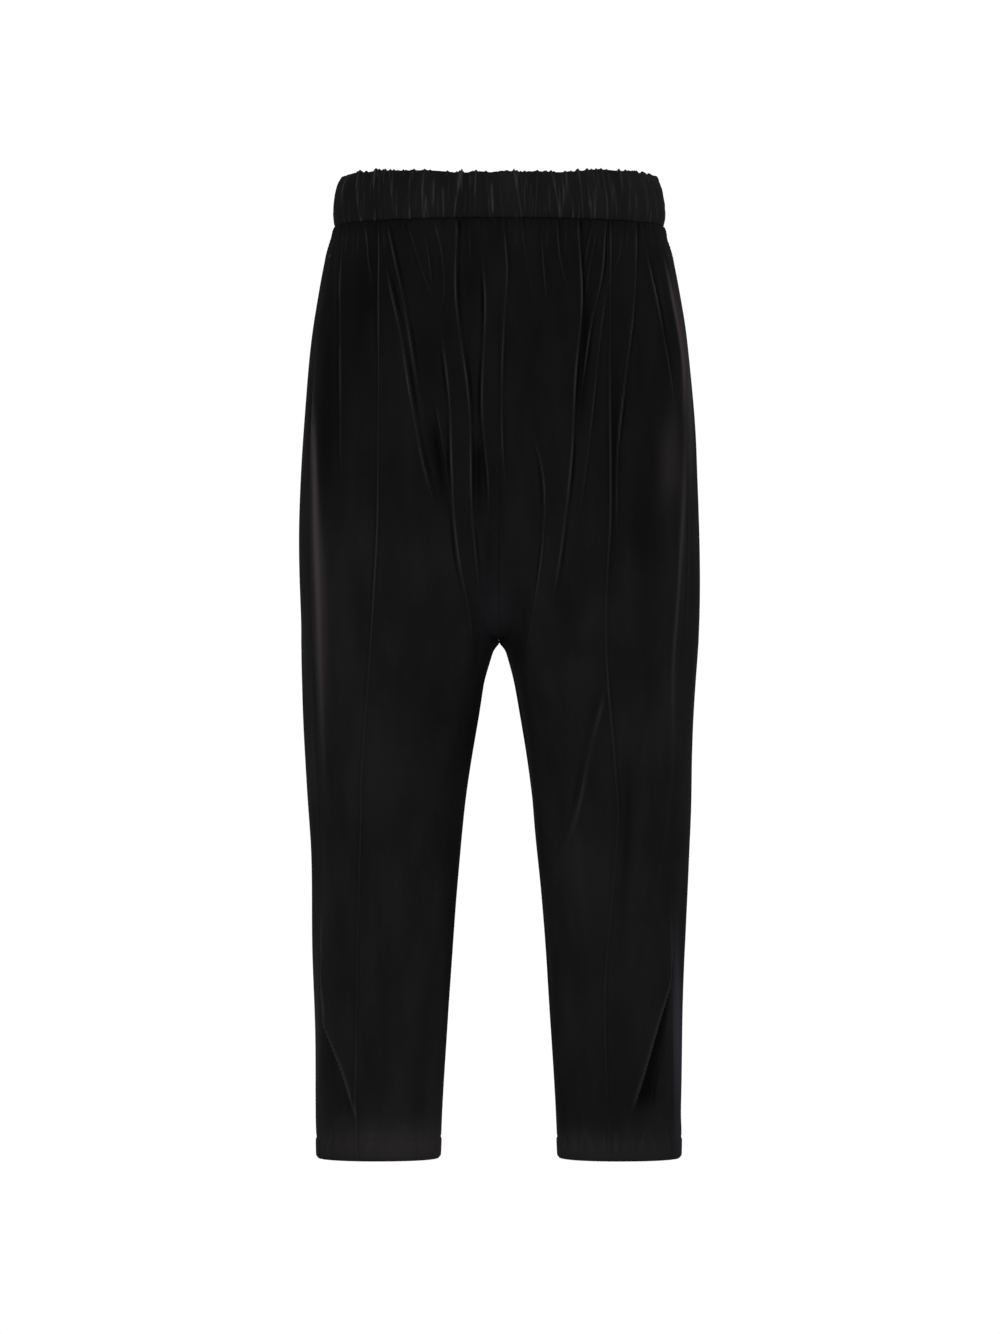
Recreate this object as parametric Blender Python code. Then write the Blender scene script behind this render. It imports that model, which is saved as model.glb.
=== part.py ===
"""Velour track pants with a dropped crotch, filled out as worn.

The garment hangs from its elastic waistband. Its front faces -Y, the wearer's left side is +X and up is +Z.
The origin is the middle of the waistband, where a waist holds it. Heights are given as a drop: the distance
below the top of the waistband. Each cut piece is a wall of cloth laid on one surface, whose sections are
worked out from the tables below. A section goes from the side seam to the centre seam, or to a leg's inseam.
"""

import functools
import math
import random
from collections import namedtuple

import bmesh
import bpy
from mathutils import Vector
from mathutils.kdtree import KDTree

# Driving sizes, in metres
LENGTH = 1.000  # top of the waistband to the hem
RISE = 0.472  # top of the waistband to the crotch
WAISTBAND = 0.048
HEM_DEPTH = 0.022
CLOTH = 0.002
HEM_CLOTH = 0.0034  # two layers, where the hem is turned up
SEAM_GAP = 0.0003
TUCK_WIDTH = 0.005
TUCK_RISE = 0.0022

# Pocket mouths in the side seams
MOUTH_TOP = 0.081
MOUTH_BOTTOM = 0.245
MOUTH_GAPE = 0.006
MOUTH_LIFT = 0.0022
FACING_GAP = 0.0006  # behind the panels, whose flat facets cut inside the curve
FACING_CLOTH = 0.0015
FACING_REACH = 2  # columns of a panel, on both sides of the side seam
FACING_BEYOND = 0.022  # above and below the mouth

# The mesh of a panel: base columns, and twice as many where the cloth is gathered
COLUMNS = 20
TUCK_COLUMN = 8
ROWS = (
    0.0483, 0.060, 0.080, 0.106, 0.140, 0.180, 0.222, 0.264, 0.306, 0.345, 0.380, 0.410, 0.436, 0.455,
    0.466, 0.472, 0.480, 0.492, 0.512, 0.545, 0.588, 0.637, 0.690, 0.745, 0.800, 0.846, 0.886, 0.930,
    0.974, 0.979, 1.000,
)
GATHERED_ROWS = 7
SHARP_ANGLE = 50  # degrees
SAMPLES = 64  # points on a section, before columns are laid on it

SQUARENESS = 2.2  # of the sections: 2 is an ellipse
LEG_START = 0.250  # the drop at which the trunk starts to part into legs
CROTCH_START = 0.400  # the drop below which folds fade out beside the centre seam
CROTCH_CURVE = 6  # how squarely the centre seams turn under towards the crotch
CROTCH_BLEND = 0.006  # how softly the cloth that hangs between the legs joins them

FRONT, BACK = 1, -1
LEFT, RIGHT = 1, -1  # the wearer's

# Gathers
COLUMNS_PER_GATHER = 3
GATHER_TROUGH = -0.5  # of a gather's ridge
BODY_GATHER = 0.0022
BODY_UNEVEN = 0.3  # how much the gathers of the body differ
BODY_BEAT = 2.4  # radians from a column to the next, in the wave of their sizes
GATHER_END = 0.140
BAND_GATHERS = 34  # on each half of the waistband
BAND_GATHER = 0.0012
BAND_SIZES = (0.55, 1.25)  # the least and the largest, of BAND_GATHER
BAND_SCALLOP = 0.0010
BAND_LEAN = 0.0018  # how far a gather's foot strays sideways
BAND_RIM = 0.005  # the drop above which the top edge is scalloped
BAND_SEEDS = {FRONT: 5, BACK: 9}

# Folds: their shape across and along, and how far from the seams and the hem they have faded
TROUGH_DEPTH = 0.5  # of a fold's rise
TROUGH_AWAY = 1.7  # half widths from the crest
FOLD_FADE = 0.25  # of a fold's length, at each end
CLEAR_OF_SIDE = 0.016
CLEAR_OF_INSEAM = 0.020
CLEAR_OF_HEM = 0.030

Section = namedtuple("Section", "drop inner outer front back left_seam right_seam")  # seams: degrees forward
SECTIONS = (
    Section(0.000, 0.0000, 0.1675, 0.106, 0.108, 14, 14),
    Section(0.048, 0.0000, 0.1695, 0.108, 0.110, 14, 14),
    Section(0.080, 0.0000, 0.1780, 0.116, 0.120, 14, 14),
    Section(0.120, 0.0000, 0.1855, 0.123, 0.131, 15, 15),
    Section(0.160, 0.0000, 0.1915, 0.128, 0.139, 15, 15),
    Section(0.220, 0.0000, 0.1975, 0.132, 0.146, 17, 17),
    Section(0.280, 0.0000, 0.2020, 0.132, 0.147, 20, 19),
    Section(0.345, 0.0000, 0.2040, 0.128, 0.141, 25, 23),
    Section(0.410, 0.0000, 0.2042, 0.119, 0.129, 31, 28),
    Section(0.472, 0.0000, 0.2035, 0.107, 0.115, 38, 33),
    Section(0.480, 0.0058, 0.2032, 0.105, 0.113, 38, 33),
    Section(0.492, 0.0098, 0.2027, 0.103, 0.110, 39, 34),
    Section(0.512, 0.0150, 0.2017, 0.099, 0.106, 40, 34),
    Section(0.545, 0.0210, 0.2001, 0.093, 0.100, 41, 35),
    Section(0.588, 0.0281, 0.1982, 0.087, 0.094, 43, 36),
    Section(0.637, 0.0345, 0.1965, 0.080, 0.088, 44, 37),
    Section(0.690, 0.0397, 0.1938, 0.073, 0.081, 43, 36),
    Section(0.776, 0.0470, 0.1912, 0.063, 0.071, 39, 31),
    Section(0.858, 0.0523, 0.1886, 0.054, 0.061, 35, 26),
    Section(0.940, 0.0574, 0.1876, 0.046, 0.052, 32, 25),
    Section(1.000, 0.0600, 0.1868, 0.042, 0.047, 30, 24),
)
Tuck = namedtuple("Tuck", "drop left right")  # how far the pressed tuck lies from the centre line
TUCK = (
    Tuck(0.048, 0.112, 0.121),
    Tuck(0.340, 0.110, 0.121),
    Tuck(0.471, 0.107, 0.128),
    Tuck(0.603, 0.117, 0.138),
    Tuck(0.650, 0.120, 0.139),
    Tuck(0.731, 0.114, 0.141),
    Tuck(0.834, 0.107, 0.144),
    Tuck(0.967, 0.111, 0.145),
    Tuck(1.000, 0.112, 0.144),
)

# Each fold: where it starts and ends, how far its middle bows to +X, its rise, half width and trough's side
Fold = namedtuple("Fold", "face top top_x bottom bottom_x bow rise width trough")
FOLDS = (
    Fold(FRONT, 0.050, -0.157, 0.345, -0.160, 0.000, 0.0050, 0.012, -1),
    Fold(FRONT, 0.060, -0.136, 0.200, -0.126, 0.000, 0.0040, 0.010, 1),
    Fold(FRONT, 0.075, -0.117, 0.400, -0.048, -0.001, 0.0080, 0.011, 1),
    Fold(FRONT, 0.051, -0.108, 0.280, -0.068, 0.000, 0.0055, 0.010, 1),
    Fold(FRONT, 0.110, -0.064, 0.530, -0.026, -0.002, 0.0060, 0.011, -1),
    Fold(FRONT, 0.053, -0.045, 0.482, -0.013, 0.000, 0.0060, 0.010, 1),
    Fold(FRONT, 0.055, -0.019, 0.430, -0.016, 0.001, 0.0055, 0.009, -1),
    Fold(FRONT, 0.051, 0.006, 0.352, 0.012, -0.001, 0.0040, 0.009, 1),
    Fold(FRONT, 0.230, 0.024, 0.520, 0.020, 0.022, 0.0055, 0.012, -1),
    Fold(FRONT, 0.051, 0.081, 0.520, 0.048, 0.005, 0.0085, 0.011, 1),
    Fold(FRONT, 0.060, 0.107, 0.400, 0.074, -0.001, 0.0060, 0.010, 1),
    Fold(FRONT, 0.051, 0.138, 0.440, 0.113, -0.004, 0.0065, 0.011, 1),
    Fold(FRONT, 0.069, 0.150, 0.280, 0.176, 0.000, 0.0060, 0.012, 1),
    Fold(FRONT, 0.519, 0.112, 0.735, 0.046, 0.004, 0.0045, 0.013, -1),
    Fold(FRONT, 0.735, 0.191, 0.968, 0.132, 0.000, 0.0100, 0.015, 1),
    Fold(FRONT, 0.760, -0.184, 0.968, -0.146, -0.004, 0.0090, 0.014, -1),
    Fold(BACK, 0.050, -0.150, 0.300, -0.160, 0.000, 0.0050, 0.012, 1),
    Fold(BACK, 0.050, -0.118, 0.420, -0.070, -0.006, 0.0075, 0.012, 1),
    Fold(BACK, 0.050, -0.090, 0.260, -0.066, 0.000, 0.0055, 0.010, 1),
    Fold(BACK, 0.050, -0.058, 0.480, -0.030, -0.006, 0.0065, 0.011, 1),
    Fold(BACK, 0.052, -0.016, 0.400, -0.014, 0.000, 0.0050, 0.010, -1),
    Fold(BACK, 0.052, 0.030, 0.470, 0.022, 0.004, 0.0055, 0.011, -1),
    Fold(BACK, 0.050, 0.080, 0.500, 0.048, 0.006, 0.0075, 0.012, -1),
    Fold(BACK, 0.050, 0.108, 0.280, 0.088, 0.002, 0.0055, 0.010, -1),
    Fold(BACK, 0.050, 0.136, 0.440, 0.124, 0.004, 0.0060, 0.012, -1),
    Fold(BACK, 0.430, -0.150, 0.580, -0.060, 0.010, 0.0055, 0.015, 1),
    Fold(BACK, 0.450, 0.150, 0.610, 0.064, -0.010, 0.0055, 0.015, -1),
    Fold(BACK, 0.640, -0.165, 0.730, -0.070, 0.000, 0.0050, 0.014, 1),
    Fold(BACK, 0.670, 0.160, 0.760, 0.070, 0.000, 0.0050, 0.014, -1),
    Fold(BACK, 0.790, -0.180, 0.968, -0.140, -0.003, 0.0080, 0.014, -1),
    Fold(BACK, 0.770, 0.182, 0.968, 0.142, 0.003, 0.0085, 0.014, 1),
)

Profile = namedtuple("Profile", "drop outset gather")  # the waistband's section, and its share of the gathers
BAND_PROFILE = (
    Profile(0.0480, -0.0050, 0.0),
    Profile(0.0480, 0.0005, 0.8),
    Profile(0.0360, 0.0014, 1.0),
    Profile(0.0200, 0.0004, 1.0),
    Profile(0.0090, -0.0020, 1.0),
    Profile(0.0004, -0.0048, 0.6),
    Profile(0.0030, -0.0086, 0.0),
    Profile(0.0140, -0.0062, 0.0),
)

VELOUR = (0.010, 0.010, 0.0115, 1.0)
VELOUR_INSIDE = (0.014, 0.014, 0.015, 1.0)


def clear_scene():
    for obj in list(bpy.data.objects):
        bpy.data.objects.remove(obj)


def cloth_material(name, colour, roughness):
    material = bpy.data.materials.new(name)
    material.use_nodes = True
    shader = material.node_tree.nodes["Principled BSDF"]
    shader.inputs["Base Color"].default_value = colour
    shader.inputs["Roughness"].default_value = roughness
    shader.inputs["Metallic"].default_value = 0.0
    return material


def ease(value):
    """0 below 0, 1 above 1, and a smooth step between."""
    value = min(1.0, max(0.0, value))
    return value * value * (3.0 - 2.0 * value)


def through(table, column, drop):
    """The value of a table's column at a drop, on a smooth curve through its rows."""
    drops = [row.drop for row in table]
    values = [getattr(row, column) for row in table]
    drop = min(max(drop, drops[0]), drops[-1])
    i = max(j for j in range(len(drops) - 1) if drops[j] <= drop)

    def slope(j):
        low, high = max(j - 1, 0), min(j + 1, len(drops) - 1)
        return (values[high] - values[low]) / (drops[high] - drops[low])

    step = drops[i + 1] - drops[i]
    t = (drop - drops[i]) / step
    return (
        (1 + 2 * t) * (1 - t) ** 2 * values[i]
        + t * (1 - t) ** 2 * step * slope(i)
        + t * t * (3 - 2 * t) * values[i + 1]
        + t * t * (t - 1) * step * slope(i + 1)
    )


def superellipse(half_width, depth, angle):
    """A point at an angle forward of the side, in a plane where the front is -Y."""
    across, along = math.cos(angle), math.sin(angle)
    return Vector(
        (
            half_width * math.copysign(abs(across) ** (2 / SQUARENESS), across),
            -depth * math.copysign(abs(along) ** (2 / SQUARENESS), along),
        )
    )


def hung_across(point, middle, depth, drop):
    """The point, moved out to the cloth that hangs across the centre, between the tops of the legs."""
    parted = max(0.0, (drop - LEG_START) / (RISE - LEG_START))
    short = depth * math.sqrt(1 - parted**CROTCH_CURVE) - abs(point.y)
    if point.x >= middle or short <= 0:
        return point
    return Vector((point.x, point.y + math.copysign(short * short / (short + CROTCH_BLEND), point.y)))


@functools.lru_cache(maxsize=None)
def section(side, face, drop):
    """(points, their distances from the side seam) across one panel, for a side at +X.

    A section is part of a superellipse whose middle moves outwards as the trunk parts into legs. Above the
    crotch it ends on the centre line, which draws the curve of the crotch seam, and below it at the inseam.
    """
    inner, outer = through(SECTIONS, "inner", drop), through(SECTIONS, "outer", drop)
    if drop < RISE:
        middle = ease((drop - LEG_START) / (RISE - LEG_START)) * outer / 2
        end = math.acos(-((middle / (outer - middle)) ** (SQUARENESS / 2)))
    else:
        middle, end = (inner + outer) / 2, math.pi
    seam = math.radians(through(SECTIONS, "left_seam" if side == LEFT else "right_seam", drop))
    points = []
    for i in range(SAMPLES + 1):
        angle = seam + (face * end - seam) * i / SAMPLES
        # a side seam lies forward of the side, so a back panel starts with the depth of the front
        depth = through(SECTIONS, "front" if angle > 0 else "back", drop)
        point = Vector((middle, 0.0)) + superellipse(outer - middle, depth, angle)
        points.append(hung_across(point, middle, depth, drop) if drop < RISE else point)
    distances = [0.0]
    for first, second in zip(points, points[1:]):
        distances.append(distances[-1] + (second - first).length)
    return points, distances


def sample(side, face, drop, i):
    """A point of a section, or, past one of its seams, the point of the panel sewn on there."""
    points = section(side, face, drop)[0]
    if i < 0:
        return section(side, -face, drop)[0][-i]
    if i <= SAMPLES:
        return points[i]
    if drop < RISE:
        return Vector((-points[2 * SAMPLES - i].x, points[2 * SAMPLES - i].y))
    return section(side, -face, drop)[0][2 * SAMPLES - i]


def place_on(side, face, drop, distance):
    """(point, outward normal) at a distance from the side seam, for a side at +X."""
    points, distances = section(side, face, drop)
    distance = min(max(distance, 0.0), distances[-1])
    i = max(1, next(j for j, d in enumerate(distances) if d >= distance - 1e-9))
    share = (distance - distances[i - 1]) / (distances[i] - distances[i - 1])
    point = points[i - 1].lerp(points[i], share)
    before = sample(side, face, drop, i - 2).lerp(sample(side, face, drop, i - 1), share)
    after = sample(side, face, drop, i).lerp(sample(side, face, drop, i + 1), share)
    along = (after - before).normalized()
    return point, Vector((-along.y, along.x)) * face


@functools.lru_cache(maxsize=None)
def distance_at(side, face, drop, across):
    """The distance from the side seam at which a section is this far from the centre line."""
    points, distances = section(side, face, drop)
    for i in range(1, SAMPLES + 1):
        if points[i].x <= across <= points[i - 1].x:
            share = (points[i - 1].x - across) / max(points[i - 1].x - points[i].x, 1e-9)
            return distances[i - 1] + share * (distances[i] - distances[i - 1])
    return 0.0 if across > points[0].x else distances[-1]


@functools.lru_cache(maxsize=None)
def from_centre(face, drop, x):
    """The distance along the cloth from the centre to a place x, negative on the wearer's right."""
    side = LEFT if x > 0 else RIGHT
    return side * (section(side, face, drop)[1][-1] - distance_at(side, face, drop, abs(x)))


def fold_relief(side, face, drop, distance):
    """How far the folds raise the cloth there."""
    length = section(side, face, drop)[1][-1]
    here = side * (length - distance)
    relief = 0.0
    for fold in FOLDS:
        if fold.face != face or not fold.top <= drop <= fold.bottom:
            continue
        t = (drop - fold.top) / (fold.bottom - fold.top)
        x = fold.top_x + (fold.bottom_x - fold.top_x) * t + fold.bow * 4 * t * (1 - t)
        off = (here - from_centre(face, drop, x)) / fold.width
        swell = fold.rise * ease(t / FOLD_FADE) * ease((1 - t) / FOLD_FADE)
        trough = TROUGH_DEPTH * math.exp(-((off - TROUGH_AWAY * fold.trough) ** 2))
        relief += swell * (math.exp(-off * off) - trough)
    beside_inseam = 1 - ease((length - distance) / CLEAR_OF_INSEAM)
    relief *= 1 - beside_inseam * ease((drop - CROTCH_START) / (RISE - CROTCH_START))
    return relief * ease(distance / CLEAR_OF_SIDE) * ease((LENGTH - HEM_DEPTH - drop) / CLEAR_OF_HEM)


def gather_relief(fine_column, drop):
    """The gathers under the waistband, each a ridge and a flatter trough, clear of the side seam."""
    from_seams = min(fine_column - COLUMNS_PER_GATHER, 2 * COLUMNS - fine_column)
    wave = 1.0 if fine_column % COLUMNS_PER_GATHER == 0 else GATHER_TROUGH
    size = 1 - BODY_UNEVEN + BODY_UNEVEN * math.sin(BODY_BEAT * fine_column)
    fade = ease(from_seams / COLUMNS_PER_GATHER) * ease((GATHER_END - drop) / (GATHER_END - WAISTBAND))
    return BODY_GATHER * size * wave * fade


def mouth_share(drop):
    """0 above and below a pocket mouth, and 1 at its middle."""
    t = (drop - MOUTH_TOP) / (MOUTH_BOTTOM - MOUTH_TOP)
    return math.sin(math.pi * t) if 0 < t < 1 else 0.0


def column_distance(side, face, drop, column):
    """The distance from the side seam to a column. The front's columns close up beside its tuck."""
    length = section(side, face, drop)[1][-1]
    if face == BACK:
        return length * column / COLUMNS
    tuck = distance_at(side, face, drop, through(TUCK, "left" if side == LEFT else "right", drop))
    half = TUCK_WIDTH / 2
    if column <= TUCK_COLUMN - 1:
        distance = (tuck - half) * column / (TUCK_COLUMN - 1)
    elif column >= TUCK_COLUMN + 1:
        rest = (column - TUCK_COLUMN - 1) / (COLUMNS - TUCK_COLUMN - 1)
        distance = tuck + half + (length - tuck - half) * rest
    else:
        distance = tuck + half * (column - TUCK_COLUMN)
    return distance + MOUTH_GAPE * mouth_share(drop) * max(0.0, 1 - column)


def outer_point(side, face, drop, column):
    """A point of a panel's outer surface. Columns count from the side seam."""
    distance = column_distance(side, face, drop, column)
    point, normal = place_on(side, face, drop, distance)
    relief = fold_relief(side, face, drop, distance) + gather_relief(round(2 * column), drop)
    if face == FRONT:
        relief += TUCK_RISE * max(0.0, 1 - abs(column - TUCK_COLUMN))
        relief += MOUTH_LIFT * mouth_share(drop) * max(0.0, 1 - column / 2)
    point = point + normal * relief
    return Vector((side * point.x, point.y, WAISTBAND / 2 - drop))


def flat_panel():
    """A panel's flat grid: columns along X and rows along -Y, with twice the columns where it is gathered."""
    bm = bmesh.new()
    bmesh.ops.create_grid(bm, x_segments=COLUMNS, y_segments=len(ROWS) - 1, size=0.5)
    for vert in bm.verts:
        vert.co = ((vert.co.x + 0.5) * COLUMNS, (vert.co.y - 0.5) * (len(ROWS) - 1), 0.0)
    across = [
        edge
        for edge in bm.edges
        if abs(edge.verts[0].co.y - edge.verts[1].co.y) < 0.5
        and all(vert.co.y > -GATHERED_ROWS - 0.5 for vert in edge.verts)
    ]
    bmesh.ops.subdivide_edges(bm, edges=across, cuts=1, use_grid_fill=True)
    bmesh.ops.triangulate(bm, faces=bm.faces[:], quad_method="ALTERNATE")
    return bm


def grid_place(vert):
    """(column, row) of a vertex of the flat grid."""
    return round(2 * vert.co.x) / 2, round(-vert.co.y)


def surface_normals():
    """A function that gives the outward normal of the whole outer surface at a point of it."""
    bm = bmesh.new()
    for side in (LEFT, RIGHT):
        for face in (FRONT, BACK):
            grid = flat_panel()
            for vert in grid.verts:
                column, row = grid_place(vert)
                vert.co = outer_point(side, face, ROWS[row], column)
            mesh = bpy.data.meshes.new("panel_surface")
            grid.to_mesh(mesh)
            grid.free()
            bm.from_mesh(mesh)
            bpy.data.meshes.remove(mesh)
    bmesh.ops.remove_doubles(bm, verts=bm.verts[:], dist=1e-5)
    bmesh.ops.recalc_face_normals(bm, faces=bm.faces[:])
    bm.normal_update()
    foremost = min(bm.verts, key=lambda vert: vert.co.y)
    turn = -1.0 if foremost.normal.y > 0 else 1.0
    tree = KDTree(len(bm.verts))
    normals = []
    for i, vert in enumerate(bm.verts):
        tree.insert(vert.co, i)
        normals.append(vert.normal * turn)
    tree.balance()
    bm.free()
    return lambda point: normals[tree.find(point)[1]]


def add_object(name, bm, material):
    """Turns the mesh's normals outwards and makes it a named object with its material."""
    bmesh.ops.recalc_face_normals(bm, faces=bm.faces[:])
    mesh = bpy.data.meshes.new(name)
    bm.to_mesh(mesh)
    bm.free()
    mesh.shade_smooth()
    mesh.set_sharp_from_angle(angle=math.radians(SHARP_ANGLE))
    mesh.materials.append(material)
    obj = bpy.data.objects.new(name, mesh)
    bpy.context.scene.collection.objects.link(obj)
    return obj


def panel(name, side, face, normal_at, material):
    """One cut panel as a wall of cloth, drawn back a little from each seam."""

    def whole(column, row):
        return outer_point(side, face, ROWS[row], column)

    def drawn_back(column, row):
        """The point, moved half a seam gap into the panel where it is on a seam."""
        point = whole(column, row)
        if column in (0, COLUMNS):
            inward = whole(min(max(column, 1), COLUMNS - 1), row) - point
            point = point + inward.normalized() * (SEAM_GAP / 2)
        return point

    def clear_of_centre(point):
        return Vector((side * max(side * point.x, SEAM_GAP / 2), point.y, point.z))

    bm = flat_panel()
    inner = bmesh.ops.extrude_face_region(bm, geom=bm.faces[:], use_keep_orig=True)
    inner_verts = {item for item in inner["geom"] if isinstance(item, bmesh.types.BMVert)}
    for vert in bm.verts:
        column, row = grid_place(vert)
        point = drawn_back(column, row)
        if vert in inner_verts:
            cloth = HEM_CLOTH if ROWS[row] > LENGTH - HEM_DEPTH else CLOTH
            point = point - normal_at(whole(column, row)) * cloth
        vert.co = clear_of_centre(point)
        if row == len(ROWS) - 1:
            vert.co.z = WAISTBAND / 2 - LENGTH
        elif row == 0:
            vert.co.z = WAISTBAND / 2 - ROWS[0]
    return add_object(name, bm, material)


def pocket_facing(name, side, normal_at, material):
    """The cloth that shows in a pocket mouth: it lies behind both panels, across the side seam."""
    drops = [drop for drop in ROWS if MOUTH_TOP - FACING_BEYOND < drop < MOUTH_BOTTOM + FACING_BEYOND]
    columns = 4 * FACING_REACH  # half columns of both panels
    bm = bmesh.new()
    bmesh.ops.create_grid(bm, x_segments=columns, y_segments=len(drops) - 1, size=0.5)
    bmesh.ops.triangulate(bm, faces=bm.faces[:], quad_method="ALTERNATE")
    inner = bmesh.ops.extrude_face_region(bm, geom=bm.faces[:], use_keep_orig=True)
    inner_verts = {item for item in inner["geom"] if isinstance(item, bmesh.types.BMVert)}
    for vert in bm.verts:
        column = round(vert.co.x * columns) / 2
        drop = drops[round((0.5 - vert.co.y) * (len(drops) - 1))]
        point = outer_point(side, FRONT if column > 0 else BACK, drop, abs(column))
        depth = CLOTH + FACING_GAP + (FACING_CLOTH if vert in inner_verts else 0.0)
        vert.co = point - normal_at(point) * depth
    return add_object(name, bm, material)


def waistband_half(name, face, material):
    """Half of the elastic casing: its section, carried from side seam to side seam over its gathers."""
    jitter = random.Random(BAND_SEEDS[face])
    columns = BAND_GATHERS * COLUMNS_PER_GATHER
    sizes = [jitter.uniform(*BAND_SIZES) for _ in range(BAND_GATHERS + 1)]
    leans = [jitter.uniform(-BAND_LEAN, BAND_LEAN) for _ in range(BAND_GATHERS + 1)]
    length = section(LEFT, face, 0.0)[1][-1]

    def band_point(column, profile):
        """A point of the casing: columns run from the wearer's left side seam to the right one."""
        side = LEFT if column <= columns / 2 else RIGHT
        from_seam = min(column, columns - column)
        gather = round(column / COLUMNS_PER_GATHER)
        end = ease(from_seam / COLUMNS_PER_GATHER)
        lean = leans[gather] * (profile.drop / WAISTBAND - 0.5) * end
        distance = length * 2 * from_seam / columns - side * lean
        point, normal = place_on(side, face, 0.0, max(distance, SEAM_GAP / 2))
        wave = 1.0 if column % COLUMNS_PER_GATHER == 0 else GATHER_TROUGH
        wave *= sizes[gather] * profile.gather * end
        point = point + normal * (profile.outset + BAND_GATHER * wave)
        lift = BAND_SCALLOP * wave if profile.drop < BAND_RIM else 0.0
        return Vector((side * point.x, point.y, WAISTBAND / 2 - profile.drop + lift))

    ring = BAND_PROFILE + BAND_PROFILE[:1]
    bm = bmesh.new()
    bmesh.ops.create_grid(bm, x_segments=columns, y_segments=len(ring) - 1, size=0.5)
    for vert in bm.verts:
        column = round((vert.co.x + 0.5) * columns)
        vert.co = band_point(column, ring[round((vert.co.y + 0.5) * (len(ring) - 1))])
    bmesh.ops.remove_doubles(bm, verts=bm.verts[:], dist=1e-5)
    bmesh.ops.holes_fill(bm, edges=[edge for edge in bm.edges if edge.is_boundary], sides=0)
    bmesh.ops.triangulate(bm, faces=bm.faces[:])
    return add_object(name, bm, material)


def main():
    clear_scene()
    velour = cloth_material("velour", VELOUR, 0.95)
    inside = cloth_material("velour_inside", VELOUR_INSIDE, 1.0)
    normal_at = surface_normals()
    for side, word in ((LEFT, "left"), (RIGHT, "right")):
        panel(f"front_{word}", side, FRONT, normal_at, velour)
        panel(f"back_{word}", side, BACK, normal_at, velour)
        pocket_facing(f"pocket_facing_{word}", side, normal_at, inside)
    waistband_half("waistband_front", FRONT, velour)
    waistband_half("waistband_back", BACK, velour)


main()
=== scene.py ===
"""Velour track pants with a dropped crotch, filled out as worn: their cloth, sewing and studio.

The garment hangs from its elastic waistband round the origin. Its front faces -Y, the wearer's left side is
+X and up is +Z. Heights are given as a drop: the distance below the top of the waistband. The panels lie on
the same sections and broad folds as their solids, with the crests, puckers and sewing of real cloth added.
"""

import math
import random
from collections import namedtuple

import bmesh
import bpy
import numpy as np
from bpy.props import FloatProperty, FloatVectorProperty, PointerProperty
from mathutils import Matrix, Vector


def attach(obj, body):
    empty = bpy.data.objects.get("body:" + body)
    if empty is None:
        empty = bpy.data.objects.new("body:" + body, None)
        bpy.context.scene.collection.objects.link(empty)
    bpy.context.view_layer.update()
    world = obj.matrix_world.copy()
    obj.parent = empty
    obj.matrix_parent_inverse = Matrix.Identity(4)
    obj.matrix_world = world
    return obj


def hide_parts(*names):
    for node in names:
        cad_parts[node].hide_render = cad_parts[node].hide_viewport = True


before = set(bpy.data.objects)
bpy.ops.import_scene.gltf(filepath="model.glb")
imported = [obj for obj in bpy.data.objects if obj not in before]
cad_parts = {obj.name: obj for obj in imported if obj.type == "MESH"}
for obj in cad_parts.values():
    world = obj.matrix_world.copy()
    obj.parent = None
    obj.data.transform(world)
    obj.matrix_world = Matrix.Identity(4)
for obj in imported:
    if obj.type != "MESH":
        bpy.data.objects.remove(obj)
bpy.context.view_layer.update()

bl_info = {
    "name": "Velour Track Pants",
    "version": (1, 0, 0),
    "blender": (4, 5, 0),
    "location": "3D View > Sidebar > Track Pants",
    "description": "Models the cloth, the sewing and the studio of a pair of velour track pants",
    "category": "Object",
}

# Driving sizes, in metres
LENGTH = 1.000  # top of the waistband to the hem
RISE = 0.472  # top of the waistband to the crotch
WAISTBAND = 0.048
PANEL_TOP = 0.0483
HEM_DEPTH = 0.022
HEM_DROP = LENGTH - HEM_DEPTH  # where the hem is stitched
TUCK_WIDTH = 0.005
MOUTH_TOP = 0.081
MOUTH_BOTTOM = 0.245
MOUTH_GAPE = 0.006
MOUTH_LIFT = 0.0022
MOUTH_REACH = 0.015  # how far from the side seam the cloth gives way round a mouth
SIDE_RISE = 0.006  # of the waistband's top edge at the sides and the back, over the front's middle
WALL = 0.002  # the solids' wall, behind which a pocket facing lies
FACING_GAP = 0.0006
FACING_REACH = 0.028
FACING_BEYOND = 0.020
SEAM_GAP = 0.0003
TURNED_IN = 0.004  # of each cut edge, into the garment at its seam

SQUARENESS = 2.2  # of the sections: 2 is an ellipse
LEG_START = 0.250  # the drop at which the trunk starts to part into legs
CROTCH_START = 0.400  # the drop below which folds fade out beside the centre seam
CROTCH_CURVE = 6  # how squarely the centre seams turn under towards the crotch
CROTCH_BLEND = 0.006  # how softly the cloth that hangs between the legs joins them
ARCH_REACH = 0.100  # how far below the crotch its arch stays close to the inseams
SAMPLES = 256  # points on a section

# How far from a side seam, an inseam and the hem stitching creases fade out, and their share left in a hem
SEAM_FADE = 0.014
INSEAM_FADE = 0.020
HEM_FADE = 0.030
HEM_CREASES = 0.15

# How far the cloth dips at its sewing and swells beside it, and the half widths of both
SIDE_DIP = 0.0004
SIDE_SWELL = 0.0003
SWELL_PLACE = 0.0050
SWELL_WIDTH = 0.0034
CENTRE_DIP = 0.0003
DIP_WIDTH = 0.0016
WAIST_DIP = 0.0008
HEM_DIP = 0.0006
STITCHED_WIDTH = 0.0014
HEM_SWELL = 0.0006
HEM_ROLL = 0.0022  # how far the hem's edge rolls in
HEM_TURN = 0.004  # over how much of its depth

STITCH_STEP = 0.0015  # between the places at which a row of stitches follows the cloth
TACK_ROWS = 9
TACK_STEP = 0.0004

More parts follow.
